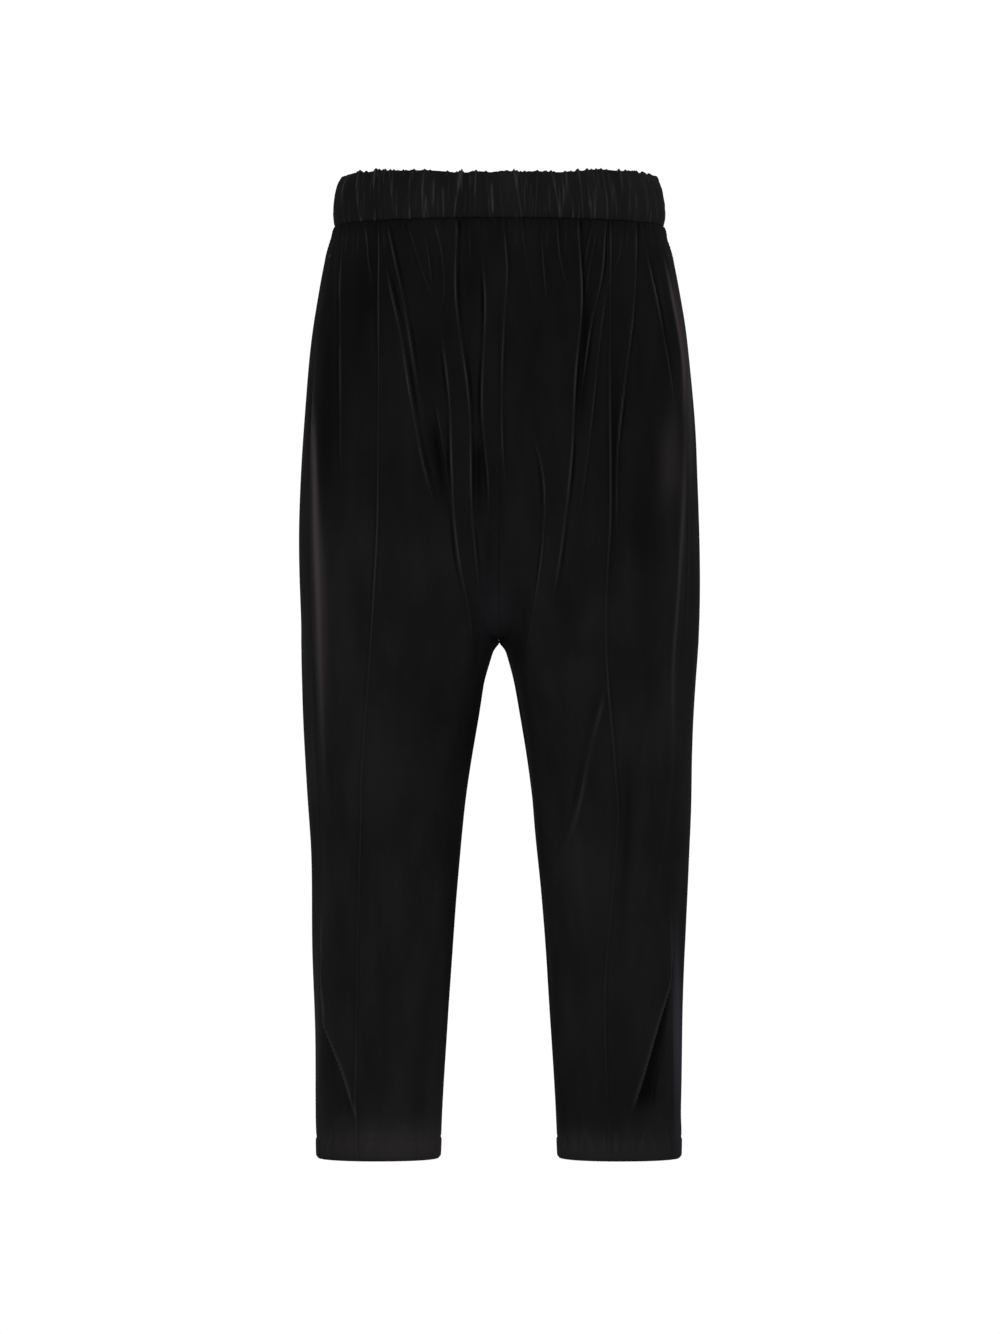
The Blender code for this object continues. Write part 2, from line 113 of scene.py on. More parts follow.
# Shares of a crest's width that it stands on and that its painted highlight covers, of its spread at which
# its hollow lies and that the hollow takes up, and of its tabled rise and depth that are built
CREST_WIDTH = 0.52
LIT_WIDTH = 0.36
HOLLOW_PLACE = 0.32
HOLLOW_WIDTH = 0.15
CREST_SHARE = 0.8
HOLLOW_SHARE = 0.6
FULL_CREST = 0.0036  # the rise from which a crest's painted highlight is full
FULL_HOLLOW = 0.0030  # the depth from which a hollow's painted shade is full
FULL_LAP = 0.0100  # and so for the painted shade in a lap's recess
LAP_BEHIND = 0.011  # how far a lap's swell reaches behind its edge
LAP_EDGE = 0.0022  # and past it
LAP_STEP = 0.0030  # over how much width the recess falls away
LAP_LIT = 0.0026  # how wide the painted highlight on its edge is
LAP_REACH = 0.016  # of the recess, from which it is fully deep

GATHER_WIDTH = 0.0012
GATHER_SHARE = 0.62  # of the tabled rise of a gather that is built
FINE_SHARE = 1.3  # and of the random rise of the fine ones between them
GATHER_ROUND = 1.5  # the power that shapes a gather, and
CREST_ROUND = 1.6  # the one that shapes a crest: 2 is a bell

FRONT, BACK = 1, -1
LEFT, RIGHT = 1, -1  # the wearer's
SIDES = ((LEFT, "left"), (RIGHT, "right"))
FACES = ((FRONT, "front"), (BACK, "back"))

# Points across a back, across a front before, over and past its tuck, and along the waistband's halves
BACK_COLUMNS = 260
FRONT_COLUMNS = (70, 13, 143)
BAND_COLUMNS = {FRONT: 560, BACK: 700}

# The columns of the tables below that aren't lengths
PLAIN = ("face", "side", "trough", "left_seam", "right_seam", "gather", "warm", "cool", "deep")


def table(columns, *rows):
    """Rows with values named after the columns. Lengths are written in millimetres and kept in metres."""
    names = columns.split()
    row_type = namedtuple("Row", names)

    def kept(name, value):
        return value if name in PLAIN else np.array(value) / 1000

    return tuple(row_type(*map(kept, names, row)) for row in rows)


# The sections: half widths inside and outside, depths in front and behind, and how many degrees forward of
# the sides the side seams lie
SECTIONS = table(
    "drop inner outer front back left_seam right_seam",
    (0, 0, 167.5, 106, 108, 14, 14),
    (48, 0, 169.5, 108, 110, 14, 14),
    (80, 0, 178, 116, 120, 14, 14),
    (120, 0, 185.5, 123, 131, 15, 15),
    (160, 0, 191.5, 128, 139, 15, 15),
    (220, 0, 197.5, 132, 146, 17, 17),
    (280, 0, 202, 132, 147, 20, 19),
    (345, 0, 204, 128, 141, 25, 23),
    (410, 0, 204.2, 119, 129, 31, 28),
    (472, 0, 203.5, 107, 115, 38, 33),
    (480, 5.8, 203.2, 105.5, 113.4, 38, 33),
    (492, 9.8, 202.7, 103.2, 111, 39, 34),
    (512, 15, 201.7, 99.3, 106.8, 40, 34),
    (545, 21, 200.1, 93, 100, 41, 35),
    (588, 28.1, 198.2, 87, 94, 43, 36),
    (637, 34.5, 196.5, 80, 88, 44, 37),
    (690, 39.7, 193.8, 73, 81, 43, 36),
    (776, 47, 191.2, 63, 71, 39, 31),
    (858, 52.3, 188.6, 54, 61, 35, 26),
    (940, 57.4, 187.6, 46, 52, 32, 25),
    (1000, 60, 186.8, 42, 47, 30, 24),
)

# How far the stitched tuck of each leg lies from the centre line
TUCK = table(
    "drop left right",
    (48, 112, 121),
    (340, 110, 121),
    (471, 107, 128),
    (603, 117, 138),
    (650, 120, 139),
    (731, 114, 141),
    (834, 107, 144),
    (967, 111, 145),
    (1000, 112, 144),
)

# Fuller places beside a side seam: the middle of each, its half height, its reach from the seam and its rise
BULGES = table(
    "side drop height reach rise",
    (LEFT, 190, 85, 30, 2.6),
    (LEFT, 575, 50, 35, 2.8),
)

# The broad folds of the solids: where each starts and ends, how far its middle bows to +X, its rise and half
# width, and the side of its trough
FOLDS = table(
    "face top top_x bottom bottom_x bow rise width trough",
    (FRONT, 50, -157, 345, -160, 0, 5, 12, -1),
    (FRONT, 60, -136, 200, -126, 0, 4, 10, 1),
    (FRONT, 75, -117, 400, -48, -1, 8, 11, 1),
    (FRONT, 51, -108, 280, -68, 0, 5.5, 10, 1),
    (FRONT, 110, -64, 530, -26, -2, 6, 11, -1),
    (FRONT, 53, -45, 482, -13, 0, 6, 10, 1),
    (FRONT, 55, -19, 430, -16, 1, 5.5, 9, -1),
    (FRONT, 51, 6, 352, 12, -1, 4, 9, 1),
    (FRONT, 230, 24, 520, 20, 22, 5.5, 12, -1),
    (FRONT, 51, 81, 520, 48, 5, 8.5, 11, 1),
    (FRONT, 60, 107, 400, 74, -1, 6, 10, 1),
    (FRONT, 51, 138, 440, 113, -4, 6.5, 11, 1),
    (FRONT, 69, 150, 280, 176, 0, 6, 12, 1),
    (FRONT, 519, 112, 735, 46, 4, 4.5, 13, -1),
    (FRONT, 735, 191, 968, 132, 0, 10, 15, 1),
    (FRONT, 760, -184, 968, -146, -4, 9, 14, -1),
    (BACK, 50, -150, 300, -160, 0, 5, 12, 1),
    (BACK, 50, -118, 420, -70, -6, 7.5, 12, 1),
    (BACK, 50, -90, 260, -66, 0, 5.5, 10, 1),
    (BACK, 50, -58, 480, -30, -6, 6.5, 11, 1),
    (BACK, 52, -16, 400, -14, 0, 5, 10, -1),
    (BACK, 52, 30, 470, 22, 4, 5.5, 11, -1),
    (BACK, 50, 80, 500, 48, 6, 7.5, 12, -1),
    (BACK, 50, 108, 280, 88, 2, 5.5, 10, -1),
    (BACK, 50, 136, 440, 124, 4, 6, 12, -1),
    (BACK, 430, -150, 580, -60, 10, 5.5, 15, 1),
    (BACK, 450, 150, 610, 64, -10, 5.5, 15, -1),
    (BACK, 640, -165, 730, -70, 0, 5, 14, 1),
    (BACK, 670, 160, 760, 70, 0, 5, 14, -1),
    (BACK, 790, -180, 968, -140, -3, 8, 14, -1),
    (BACK, 770, 182, 968, 142, 3, 8.5, 14, 1),
)

# The narrow crests on and between them, each along a path of (drop, x) places. The hollow lies beside the
# crest, to +X if spread is positive.
CRESTS = table(
    "face rise width hollow spread path",
    (FRONT, 3, 3, 3, -9, ((50, -158), (180, -157), (335, -157))),
    (FRONT, 2.4, 2.6, 1.2, 6, ((50, -134), (86, -130), (130, -123))),
    (FRONT, 4.2, 3.2, 5, 10, ((76, -118), (159, -97), (226, -86), (293, -75), (385, -49))),
    (FRONT, 3.2, 2.8, 3, 8, ((52, -112), (116, -97), (215, -80), (275, -69))),
    (FRONT, 2.6, 2.6, 1.6, -7, ((52, -92), (108, -75), (140, -62))),
    (FRONT, 2.2, 2.2, 1.2, 5, ((52, -76), (88, -70), (128, -66))),
    (FRONT, 2.6, 2.4, 1.4, -6, ((52, -64), (94, -56), (132, -56), (150, -61))),
    (FRONT, 3.8, 3.2, 3.2, -9, ((140, -61), (231, -49), (301, -47), (391, -41), (455, -31), (520, -24))),
    (FRONT, 2.4, 2.6, 2, -7, ((225, -65), (301, -52), (372, -44))),
    (FRONT, 3.4, 2.8, 3.6, 9, ((50, -42), (122, -43), (232, -30), (365, -26), (435, -19), (488, -11))),
    (FRONT, 1.6, 2, 0.8, 5, ((50, -30), (98, -28))),
    (FRONT, 3, 2.8, 4, -8, ((58, -20), (122, -14), (232, -17), (357, -12), (400, -20))),
    (FRONT, 2.6, 2.6, 1.6, 8, ((50, 4), (103, 8), (152, 5), (301, 5), (375, 14))),
    (FRONT, 1.8, 2, 0.8, 5, ((50, 23), (75, 25), (150, 39))),
    (FRONT, 2, 2.2, 1, -5, ((50, 42), (94, 44), (150, 49))),
    (FRONT, 2.2, 2.2, 1.2, 6, ((50, 58), (82, 60), (146, 76))),
    (FRONT, 4.4, 3, 4.4, 9, ((50, 79), (137, 81), (204, 75), (287, 71), (362, 64), (500, 47))),
    (FRONT, 2.2, 2.2, 1.2, -5, ((50, 94), (88, 86), (112, 82))),
    (FRONT, 2.6, 2.4, 1.8, 6, ((55, 99), (96, 91), (142, 83))),
    (FRONT, 3.4, 2.8, 3.6, 8, ((50, 107), (107, 102), (148, 93), (262, 77))),
    (FRONT, 2.4, 3, 2, 8, ((96, 113), (150, 103), (200, 98), (281, 89), (385, 74))),
    (FRONT, 2.2, 2.2, 1.2, 6, ((50, 125), (81, 122), (110, 112))),
    (FRONT, 3.4, 3, 3.8, 10, ((50, 138), (100, 136), (208, 124), (280, 117), (410, 116))),
    (FRONT, 3.6, 3, 4, 10, ((60, 147), (113, 153), (162, 162), (255, 177))),
    (FRONT, 2, 2.6, 1.6, -6, ((84, 167), (133, 177), (175, 183.5), (235, 187.5))),
    (FRONT, 2.8, 2.6, 2.2, -8, ((240, 26), (312, 44), (371, 44), (438, 37), (530, 19))),
    (FRONT, 2.2, 6.4, 1.8, -22, ((505, 111), (577, 93), (654, 78), (730, 46))),
    (FRONT, 2.2, 2.6, 1.4, -6, ((880, 174), (960, 158))),
    (BACK, 2.8, 3, 2.6, 9, ((50, -150), (170, -156), (300, -160))),
    (BACK, 3.8, 3.2, 4.4, 10, ((50, -118), (220, -101), (330, -90), (430, -68))),
    (BACK, 2.8, 2.6, 2.2, 7, ((50, -90), (140, -78), (260, -66))),
    (BACK, 2.2, 2.2, 1.2, -5, ((50, -74), (120, -69))),
    (BACK, 3.4, 3, 3.2, 9, ((50, -58), (240, -50), (400, -42), (490, -28))),
    (BACK, 2, 2.2, 1, 5, ((50, -38), (110, -36), (160, -40))),
    (BACK, 2.8, 2.8, 2.4, -8, ((50, -16), (200, -18), (400, -14))),
    (BACK, 2, 2.2, 1, 5, ((50, 8), (130, 10))),
    (BACK, 3, 2.8, 2.6, -8, ((50, 30), (240, 32), (380, 30), (480, 21))),
    (BACK, 2.2, 2.2, 1.2, 5, ((50, 56), (110, 54), (170, 60))),
    (BACK, 3.8, 3.2, 4, -10, ((50, 80), (260, 74), (400, 60), (510, 46))),
    (BACK, 2.8, 2.6, 2.2, -7, ((50, 108), (160, 99), (280, 88))),
    (BACK, 2, 2.2, 1, 5, ((50, 122), (120, 119))),
    (BACK, 3, 3, 3, -9, ((50, 136), (250, 136), (440, 124))),
)

# Where a leg's cloth laps over a deep recess: the side of the recess, how far the edge swells and the recess
# falls, and a path of (drop, x, reach of the recess) places
LAPS = table(
    "face side swell fall path",
    (FRONT, 1, 3, 10, ((725, 191, 4), (780, 180, 7), (842, 163, 10), (905, 147, 24), (962, 131, 36))),
    (FRONT, -1, 2.6, 6.6, ((835, -186, 4), (868, -171, 12), (910, -156, 26), (962, -144, 34))),
    (FRONT, -1, 2, 4, ((735, -190, 3), (790, -180, 8), (868, -171, 4))),
    (BACK, -1, 1.8, 8, ((760, -184, 5), (860, -164, 14), (960, -141, 30))),
    (BACK, 1, 1.8, 8.4, ((750, 186, 5), (850, 166, 14), (962, 140, 32))),
)

# Patches of painted light and shade: the middle and half size of each patch, from the side seam and the waist
# top, how much painted warm and cool highlight it adds, and how much painted shade
PAINTED_PATCHES = table(
    "side face from_seam drop width height warm cool deep",
    (RIGHT, FRONT, 4, 420, 12, 420, 0.12, 0, 0),
    (LEFT, FRONT, 34, 290, 19, 64, 0.34, 0, 0),
    (LEFT, FRONT, 4, 170, 8, 85, 0.6, 0, 0),
    (LEFT, BACK, 6, 205, 18, 115, 0.56, 0, 0),
    (LEFT, FRONT, 230, 440, 60, 46, 0.2, 0.26, 0),
    (RIGHT, FRONT, 230, 445, 60, 46, 0.2, 0.26, 0),
    (LEFT, FRONT, 4, 360, 12, 120, 0.16, 0.05, 0),
    (LEFT, BACK, 8, 870, 12, 100, 0.05, 0.75, 0),
    (LEFT, FRONT, 90, 990, 120, 26, 0.26, 0.12, 0),
    (RIGHT, FRONT, 90, 985, 120, 30, 0.36, 0.18, 0),
    (RIGHT, FRONT, 36, 240, 20, 120, 0, 0, 0.45),
    (LEFT, FRONT, 58, 320, 20, 110, 0, 0, 0.3),
    (RIGHT, BACK, 8, 860, 12, 100, 0.05, 0.35, 0),
    (LEFT, FRONT, 150, 280, 50, 110, 0, 0.1, 0),
    (RIGHT, FRONT, 190, 330, 40, 110, 0, 0.1, 0),
    (LEFT, BACK, 160, 300, 50, 130, 0.1, 0.1, 0),
    (RIGHT, BACK, 150, 250, 50, 110, 0.05, 0.12, 0),
    *((side, BACK, 130, 985, 150, 30, 0.1, 0.3, 0) for side in (LEFT, RIGHT)),
    *((side, face, 140, 120, 240, 250, 0, 0, 0.4) for side in (LEFT, RIGHT) for face in (FRONT, BACK)),
    (RIGHT, FRONT, 75, 120, 30, 80, 0, 0, 0.3),
)

# Narrow streaks of painted highlight and painted shade along paths of (drop, x) places, in the same terms
PAINTED_STREAKS = table(
    "face width warm cool deep path",
    (FRONT, 5, 0, 0, 0.8, ((255, -21), (300, -20), (340, -20), (382, -20))),
    (FRONT, 5, 0, 0, 0.7, ((240, -67), (290, -60), (330, -55), (370, -49))),
    (FRONT, 6, 0, 0, 0.6, ((100, 89), (170, 85), (230, 82), (310, 79))),
    (FRONT, 4.5, 0, 0, 0.5, ((180, 118), (280, 114), (400, 112), (470, 110))),
    (FRONT, 5, 0, 0, 0.6, ((110, 158), (150, 166), (200, 174), (245, 179))),
    (FRONT, 2.6, 0.95, 0, 0, ((66, 163), (95, 170), (133, 177), (175, 183.5), (260, 187))),
    (
        FRONT, 3.4, 0.42, 0, 0,
        ((220, 186.8), (340, 186.2), (410, 181.5), (475, 176.5), (600, 173), (720, 170)),
    ),
    (
        FRONT, 5.8, 0.8, 0, 0,
        (
            (160, -190.5), (238, -189.4), (325, -185.8), (395, -183.8),
            (475, -181.7), (600, -177.5), (680, -174.5),
        ),
    ),
    (FRONT, 9, 0.26, 0, 0, ((300, -182), (400, -178), (500, -174), (620, -170))),
    (FRONT, 6, 0, 0, 0.45, ((560, 128), (640, 130), (740, 124), (840, 118))),
    (FRONT, 8, 0.15, 0.05, 0, ((560, 60), (640, 75), (740, 85), (860, 92))),
    (FRONT, 7, 0.14, 0.04, 0, ((520, -120), (640, -128), (760, -128), (900, -124))),
    (BACK, 5, 0, 0, 0.7, ((180, -94), (280, -84), (360, -76), (420, -64))),
    (BACK, 5.5, 0, 0, 0.6, ((160, 88), (260, 82), (360, 72), (440, 60))),
    (BACK, 8, 0.15, 0.05, 0, ((540, -110), (680, -120), (820, -122), (920, -122))),
    (BACK, 8, 0.12, 0.06, 0, ((560, 100), (680, 112), (840, 120), (930, 122))),
)

# The gathers of the front of the waistband, one by one: x at the top edge and at the seam, the drops
# between which each shows, and its rise
GATHERS = table(
    "top_x foot_x top foot rise",
    (-159, -156, 4, 48, 1.6),
    (-146, -139, 0, 48, 1.7),
    (-128, -123, 0, 30, 1.1),
    (-122, -118, 4, 26, 0.9),
    (-112, -103, 0, 42, 1.5),
    (-104, -102, 18, 48, 1),
    (-90, -89, 8, 48, 1.4),
    (-76, -76, 0, 48, 1.6),
    (-69, -67, 10, 36, 1),
    (-58, -55, 16, 36, 1.2),
    (-38, -45, 0, 48, 1.8),
    (-30, -28, 4, 44, 1.2),
    (-24, -24, 0, 46, 1.1),
    (-13, -8, 6, 34, 1.3),
    (-7, -7, 12, 44, 1),
    (-1, 4, 14, 48, 1.3),
    (15, 23, 0, 48, 1.8),
    (26, 32, 0, 20, 1.2),
    (39, 36, 0, 48, 1.3),
    (53, 61, 0, 48, 1.9),
    (68, 71, 2, 34, 1.1),
    (81, 84, 0, 48, 1.7),
    (91, 92, 0, 34, 1),
    (95, 102, 0, 24, 1.2),
    (105, 109, 0, 48, 1.6),
    (115, 113, 10, 48, 1.1),
    (124, 126, 0, 24, 1.2),
    (131, 139, 0, 20, 1.4),
    (134, 140, 20, 48, 1.3),
    (147, 149, 6, 40, 1.4),
    (152, 161, 4, 48, 1.7),
)

# The waistband's section, from its foot up, over the top edge and down inside, and its share of the gathers
BAND_PROFILE = table(
    "drop outset gather",
    (48, -5, 0),
    (48, -0.6, 0.6),
    (47, 0.1, 0.8),
    (45, 0.5, 1),
    (42, 0.9, 1),
    (39, 1.3, 1),
    (34.5, 1.5, 1),
    (30, 1.3, 1),
    (25.5, 1, 1),
    (21, 0.5, 1),
    (17, -0.2, 1),
    (13, -1.1, 1),
    (9, -2, 1),
    (5.5, -2.9, 0.9),
    (2.8, -3.8, 0.8),
    (1, -4.7, 0.6),
    (0.2, -5.8, 0.4),
    (0.6, -7.2, 0.2),
    (3, -8.6, 0),
    (9, -8.2, 0),
    (16, -7, 0),
    (32, -6, 0),
)


def ease(value):
    """0 below 0, 1 above 1, and a smooth step between."""
    value = np.clip(value, 0.0, 1.0)
    return value * value * (3.0 - 2.0 * value)


def bell(off, width=1.0, power=2):
    """1 at the middle, falling away to nothing at both sides of it."""
    return np.exp(-(np.abs(off / width) ** power))


def travelled(x, y):
    """The distance along each row of points, from its first."""
    steps = np.hypot(np.diff(x, axis=1), np.diff(y, axis=1))
    return np.concatenate([np.zeros((len(x), 1)), np.cumsum(steps, axis=1)], axis=1)


def curve(at, values, slopes, where):
    """A smooth curve through values at places, with these slopes there, held level past its ends."""
    where = np.clip(where, at[0], at[-1])
    i = np.clip(np.searchsorted(at, where, side="right") - 1, 0, len(at) - 2)
    step = at[i + 1] - at[i]
    t = (where - at[i]) / step
    return (
        (1 + 2 * t) * (1 - t) ** 2 * values[i]
        + t * (1 - t) ** 2 * step * slopes[i]
        + t * t * (3 - 2 * t) * values[i + 1]
        + t * t * (t - 1) * step * slopes[i + 1]
    )


def smooth_path(at, values, where):
    """Values on a smooth curve through the places of a given path."""
    return curve(at, values, np.gradient(values, at), where)


def through(rows, column, drops):
    """A table's column at several drops, on a smooth curve through its rows."""
    at = np.array([row.drop for row in rows])
    values = np.array([getattr(row, column) for row in rows])
    own = np.arange(len(at))
    before, after = np.maximum(own - 1, 0), np.minimum(own + 1, len(at) - 1)
    return curve(at, values, (values[after] - values[before]) / (at[after] - at[before]), drops)


def signed_power(value, power):
    return np.copysign(np.abs(value) ** power, value)


class Sections:
    """One panel's sections, a row for each drop: points from the side seam to the centre, for a side at +X.

    A section is part of a superellipse whose middle moves outwards as the trunk parts into legs, with cloth
    hung across the centre between them.
    """

    def __init__(self, side, face, drops):
        self.side, self.face, self.drops = side, face, drops
        inner, outer = through(SECTIONS, "inner", drops), through(SECTIONS, "outer", drops)
        parted = ease((drops - LEG_START) / (RISE - LEG_START)) * outer / 2
        trunk = self.trunk = drops < RISE
        spread = inner * ease((drops - RISE) / ARCH_REACH)
        middle = np.where(trunk, parted, (spread + outer) / 2)
        ratio = np.where(trunk, np.minimum(middle / (outer - middle), 1.0), 1.0)
        end = np.arccos(-(ratio ** (SQUARENESS / 2)))
        seam = np.radians(through(SECTIONS, "left_seam" if side == LEFT else "right_seam", drops))
        share = np.linspace(0.0, 1.0, SAMPLES + 1)
        angle = seam[:, None] + (face * end - seam)[:, None] * share
        in_front, behind = through(SECTIONS, "front", drops), through(SECTIONS, "back", drops)
        depth = np.where(angle > 0, in_front[:, None], behind[:, None])
        self.x = middle[:, None] + (outer - middle)[:, None] * signed_power(np.cos(angle), 2 / SQUARENESS)
        self.x += np.where(trunk, 0.0, inner - spread)[:, None] * np.maximum(0.0, -np.cos(angle)) ** 4
        self.y = -depth * signed_power(np.sin(angle), 2 / SQUARENESS)
        self.even = travelled(self.x, self.y)
        self.even /= self.even[:, -1:]
        towards_crotch = np.clip((drops - LEG_START) / (RISE - LEG_START), 0, 1)[:, None]
        hung = depth * np.sqrt(1 - towards_crotch**CROTCH_CURVE)
        inside = trunk[:, None] & (self.x < middle[:, None])
        short = np.where(inside, np.maximum(hung - np.abs(self.y), 0.0), 0.0)
        self.y += np.copysign(short * short / (short + CROTCH_BLEND), self.y)
        self.distances = travelled(self.x, self.y)
        self.length = self.distances[:, -1]

    def read(self, values, distances):
        """Values on the samples, read at distances from the side seam."""
        return np.array([np.interp(d, own, v) for d, own, v in zip(distances, self.distances, values)])

    def place(self, distances):
        """(x, y) and the outward normal (x, y) at distances from the side seam, for a side at +X.

        The normal has no x at the centre seam, so that both sides' cloth meets there.
        """
        across, along = np.gradient(self.x, axis=1), np.gradient(self.y, axis=1)
        across, along = self.read(across, distances), self.read(along, distances)
        along *= np.where(self.trunk[:, None], ease((self.length[:, None] - distances) / 0.010), 1.0)
        size = np.hypot(across, along)
        normal = (-along / size * self.face, across / size * self.face)
        return self.read(self.x, distances), self.read(self.y, distances), normal

    def distance_at(self, x):
        """The distance from the side seam at which each section is x from the centre line."""
        found = []
        for own_x, own_distance, wanted in zip(self.x, self.distances, x):
            widest = int(np.argmax(own_x))
            found.append(np.interp(-wanted, -own_x[widest:], own_distance[widest:]))
        return np.array(found)

    def from_centre(self, x):
        """The distance along the cloth from the centre to each x, negative on the wearer's right."""
        return np.sign(x) * (self.length - self.distance_at(np.abs(x)))

    def along(self, distances):
        """Places along the cloth from the centre, positive to +X, for distances from the side seam."""
        return self.side * (self.length[:, None] - distances)

    def off_path(self, here, at, x):
        """How far places along the cloth lie to +X of a path, from the path's drops and its x at each."""
        return here - self.from_centre(smooth_path(at, x, self.drops))[:, None]

    def distances_at(self, shares):
        """Distances from the side seam at shares of the way to the centre, in line past the crotch."""
        return np.array([np.interp(s, even, own) for s, even, own in zip(shares, self.even, self.distances)])

    def tuck(self):
        return self.distance_at(through(TUCK, "left" if self.side == LEFT else "right", self.drops))


def ridge(off, top, bottom, drops, soft=0.4):
    """A crest's height at signed distances off it, as its middle rises and its ends fade."""
    t = (drops - top) / (bottom - top)
    start = np.ones_like(t) if top < PANEL_TOP + 0.005 else ease(2 * t / soft)
    along = np.where((t >= 0) & (t <= 1), start * ease((1 - t) / soft), 0.0)
    return along[:, None] * bell(off, power=CREST_ROUND)


def fold_relief(sections, here):
    """The broad folds of the solids, at places here along the cloth from the centre."""
    relief = np.zeros_like(here)
    drops = sections.drops
    for fold in FOLDS:
        if fold.face != sections.face:
            continue
        t = np.clip((drops - fold.top) / (fold.bottom - fold.top), 0.0, 1.0)
        x = fold.top_x + (fold.bottom_x - fold.top_x) * t + fold.bow * 4 * t * (1 - t)
        off = (here - sections.from_centre(x)[:, None]) / fold.width
        swell = fold.rise * ease(t / 0.25) * ease((1 - t) / 0.25)
        relief += swell[:, None] * (bell(off) - 0.5 * bell(off - 1.7 * fold.trough))
    return relief


def crest_relief(sections, here):
    """(relief, painted light and shade) of the narrow crests, each with the hollow beside it.

    The painted light and shade is a painted highlight over a crest, about 1, and painted shade in a hollow,
    about -1.
    """
    relief, lie = np.zeros_like(here), np.zeros_like(here)
    drops = sections.drops
    for index, crest in enumerate(CRESTS):
        if crest.face != sections.face:
            continue
        uneven = (0.74 + 0.26 * np.sin(70.0 * drops + 9.0 * index))[:, None]
        at, x = crest.path.T
        off = sections.off_path(here, at, x)
        ends = at[0], at[-1], drops
        top = ridge(off / (CREST_WIDTH * crest.width), *ends)
        hollow = ridge((off - HOLLOW_PLACE * crest.spread) / (HOLLOW_WIDTH * abs(crest.spread)), *ends)
        relief += uneven * (CREST_SHARE * crest.rise * top - HOLLOW_SHARE * crest.hollow * hollow)
        # A painted highlight over the crest, and painted shade in its hollow
        lie += uneven * min(1.0, crest.rise / FULL_CREST) * ridge(off / (LIT_WIDTH * crest.width), *ends)
        lie -= uneven * min(1.0, crest.hollow / FULL_HOLLOW) * hollow
    return relief, lie


def lap_relief(sections, here):
    """(relief, painted light and shade) of the laps: cloth that swells to an edge and drops from it into a
    recess.
    """
    relief, lie = np.zeros_like(here), np.zeros_like(here)
    drops = sections.drops
    for lap in LAPS:
        if lap.face != sections.face:
            continue
        at, x, reach = lap.path.T
        share = ((drops - at[0]) / (at[-1] - at[0]))[:, None]
        along = ease(share / 0.25) * ease((1 - share) / 0.15)
        off = lap.side * sections.off_path(here, at, x)
        reach = smooth_path(at, reach, drops)[:, None]
        edge = bell(off, np.where(off < 0, LAP_BEHIND, LAP_EDGE), CREST_ROUND)
        recess = ease(off / LAP_STEP) * (1 - ease((off - 0.45 * reach) / (0.75 * reach)))
        relief += along * (lap.swell * edge - lap.fall * np.minimum(1.0, reach / LAP_REACH) * recess)
        # A painted highlight along the edge, and painted shade in the recess
        lie += along * (0.7 * bell(off, LAP_LIT) - min(1.0, (lap.fall / FULL_LAP) ** 2) * recess)
    return relief, lie


def scattered(chance, first, last, reaches, rises, widths, slant, widest_step):
    """Puckers from first to last: the place, reach, rise, width and slant of each, at random."""
    place = first
    while place < last:
        reach = chance.choice(reaches)
        rise, width = chance.uniform(*rises), chance.uniform(*widths)
        yield place, reach, rise, width, chance.uniform(-slant, slant)
        place += chance.uniform(0.005, widest_step)


def pucker_relief(sections, here):
    """Short puckers below the waist seam and above the hem stitching, uneven in place, length and height."""
    chance = random.Random(11 + 2 * sections.side + sections.face)
    relief = np.zeros_like(here)
    drops = sections.drops
    longest, hem_length = float(sections.length.max()), float(sections.length[-1])
    reaches, rises, widths = (0.014, 0.020, 0.030, 0.045), (0.0006, 0.0013), (0.0014, 0.0024)
    at_waist = scattered(chance, 0.004, longest, reaches, rises, widths, 0.15, 0.011)
    for place, reach, rise, width, slant in at_waist:
        off = np.abs(here) - place - slant * (drops - PANEL_TOP)[:, None]
        relief += rise * ridge(off / width, PANEL_TOP, PANEL_TOP + reach, drops, 0.7)
    reaches, rises, widths = (0.010, 0.016, 0.028), (0.0004, 0.0011), (0.0016, 0.0030)
    at_hem = scattered(chance, 0.003, hem_length, reaches, rises, widths, 0.3, 0.012)
    for place, reach, rise, width, slant in at_hem:
        off = np.abs(here) - place - slant * (drops - HEM_DROP)[:, None]
        fade = ease((drops - HEM_DROP + reach) / reach) * ease((LENGTH - drops) / (0.7 * HEM_DEPTH))
        relief += rise * fade[:, None] * bell(off, width, CREST_ROUND)
    return relief


def swell_relief(sections, distances):
    """The slow unevenness of cloth that hangs, as a few long waves."""
    relief = np.zeros_like(distances)
    drops = sections.drops
    shift = 1.7 * sections.side + 0.9 * sections.face
    for rise, across, down, start in (
        (0.0007, 46.0, 9.0, 0.3),
        (0.0006, 71.0, -15.0, 2.1),
        (0.0005, 28.0, 31.0, 4.0),
        (0.0004, 104.0, 22.0, 5.2),
    ):
        relief += rise * np.sin(across * distances + down * drops[:, None] + start + shift)
    return relief * ease((drops - 0.10) / 0.12)[:, None]


def mouth_share(drops):
    """0 above and below a pocket mouth, and 1 at its middle."""
    t = np.clip((drops - MOUTH_TOP) / (MOUTH_BOTTOM - MOUTH_TOP), 0.0, 1.0)
    return np.sin(math.pi * t)


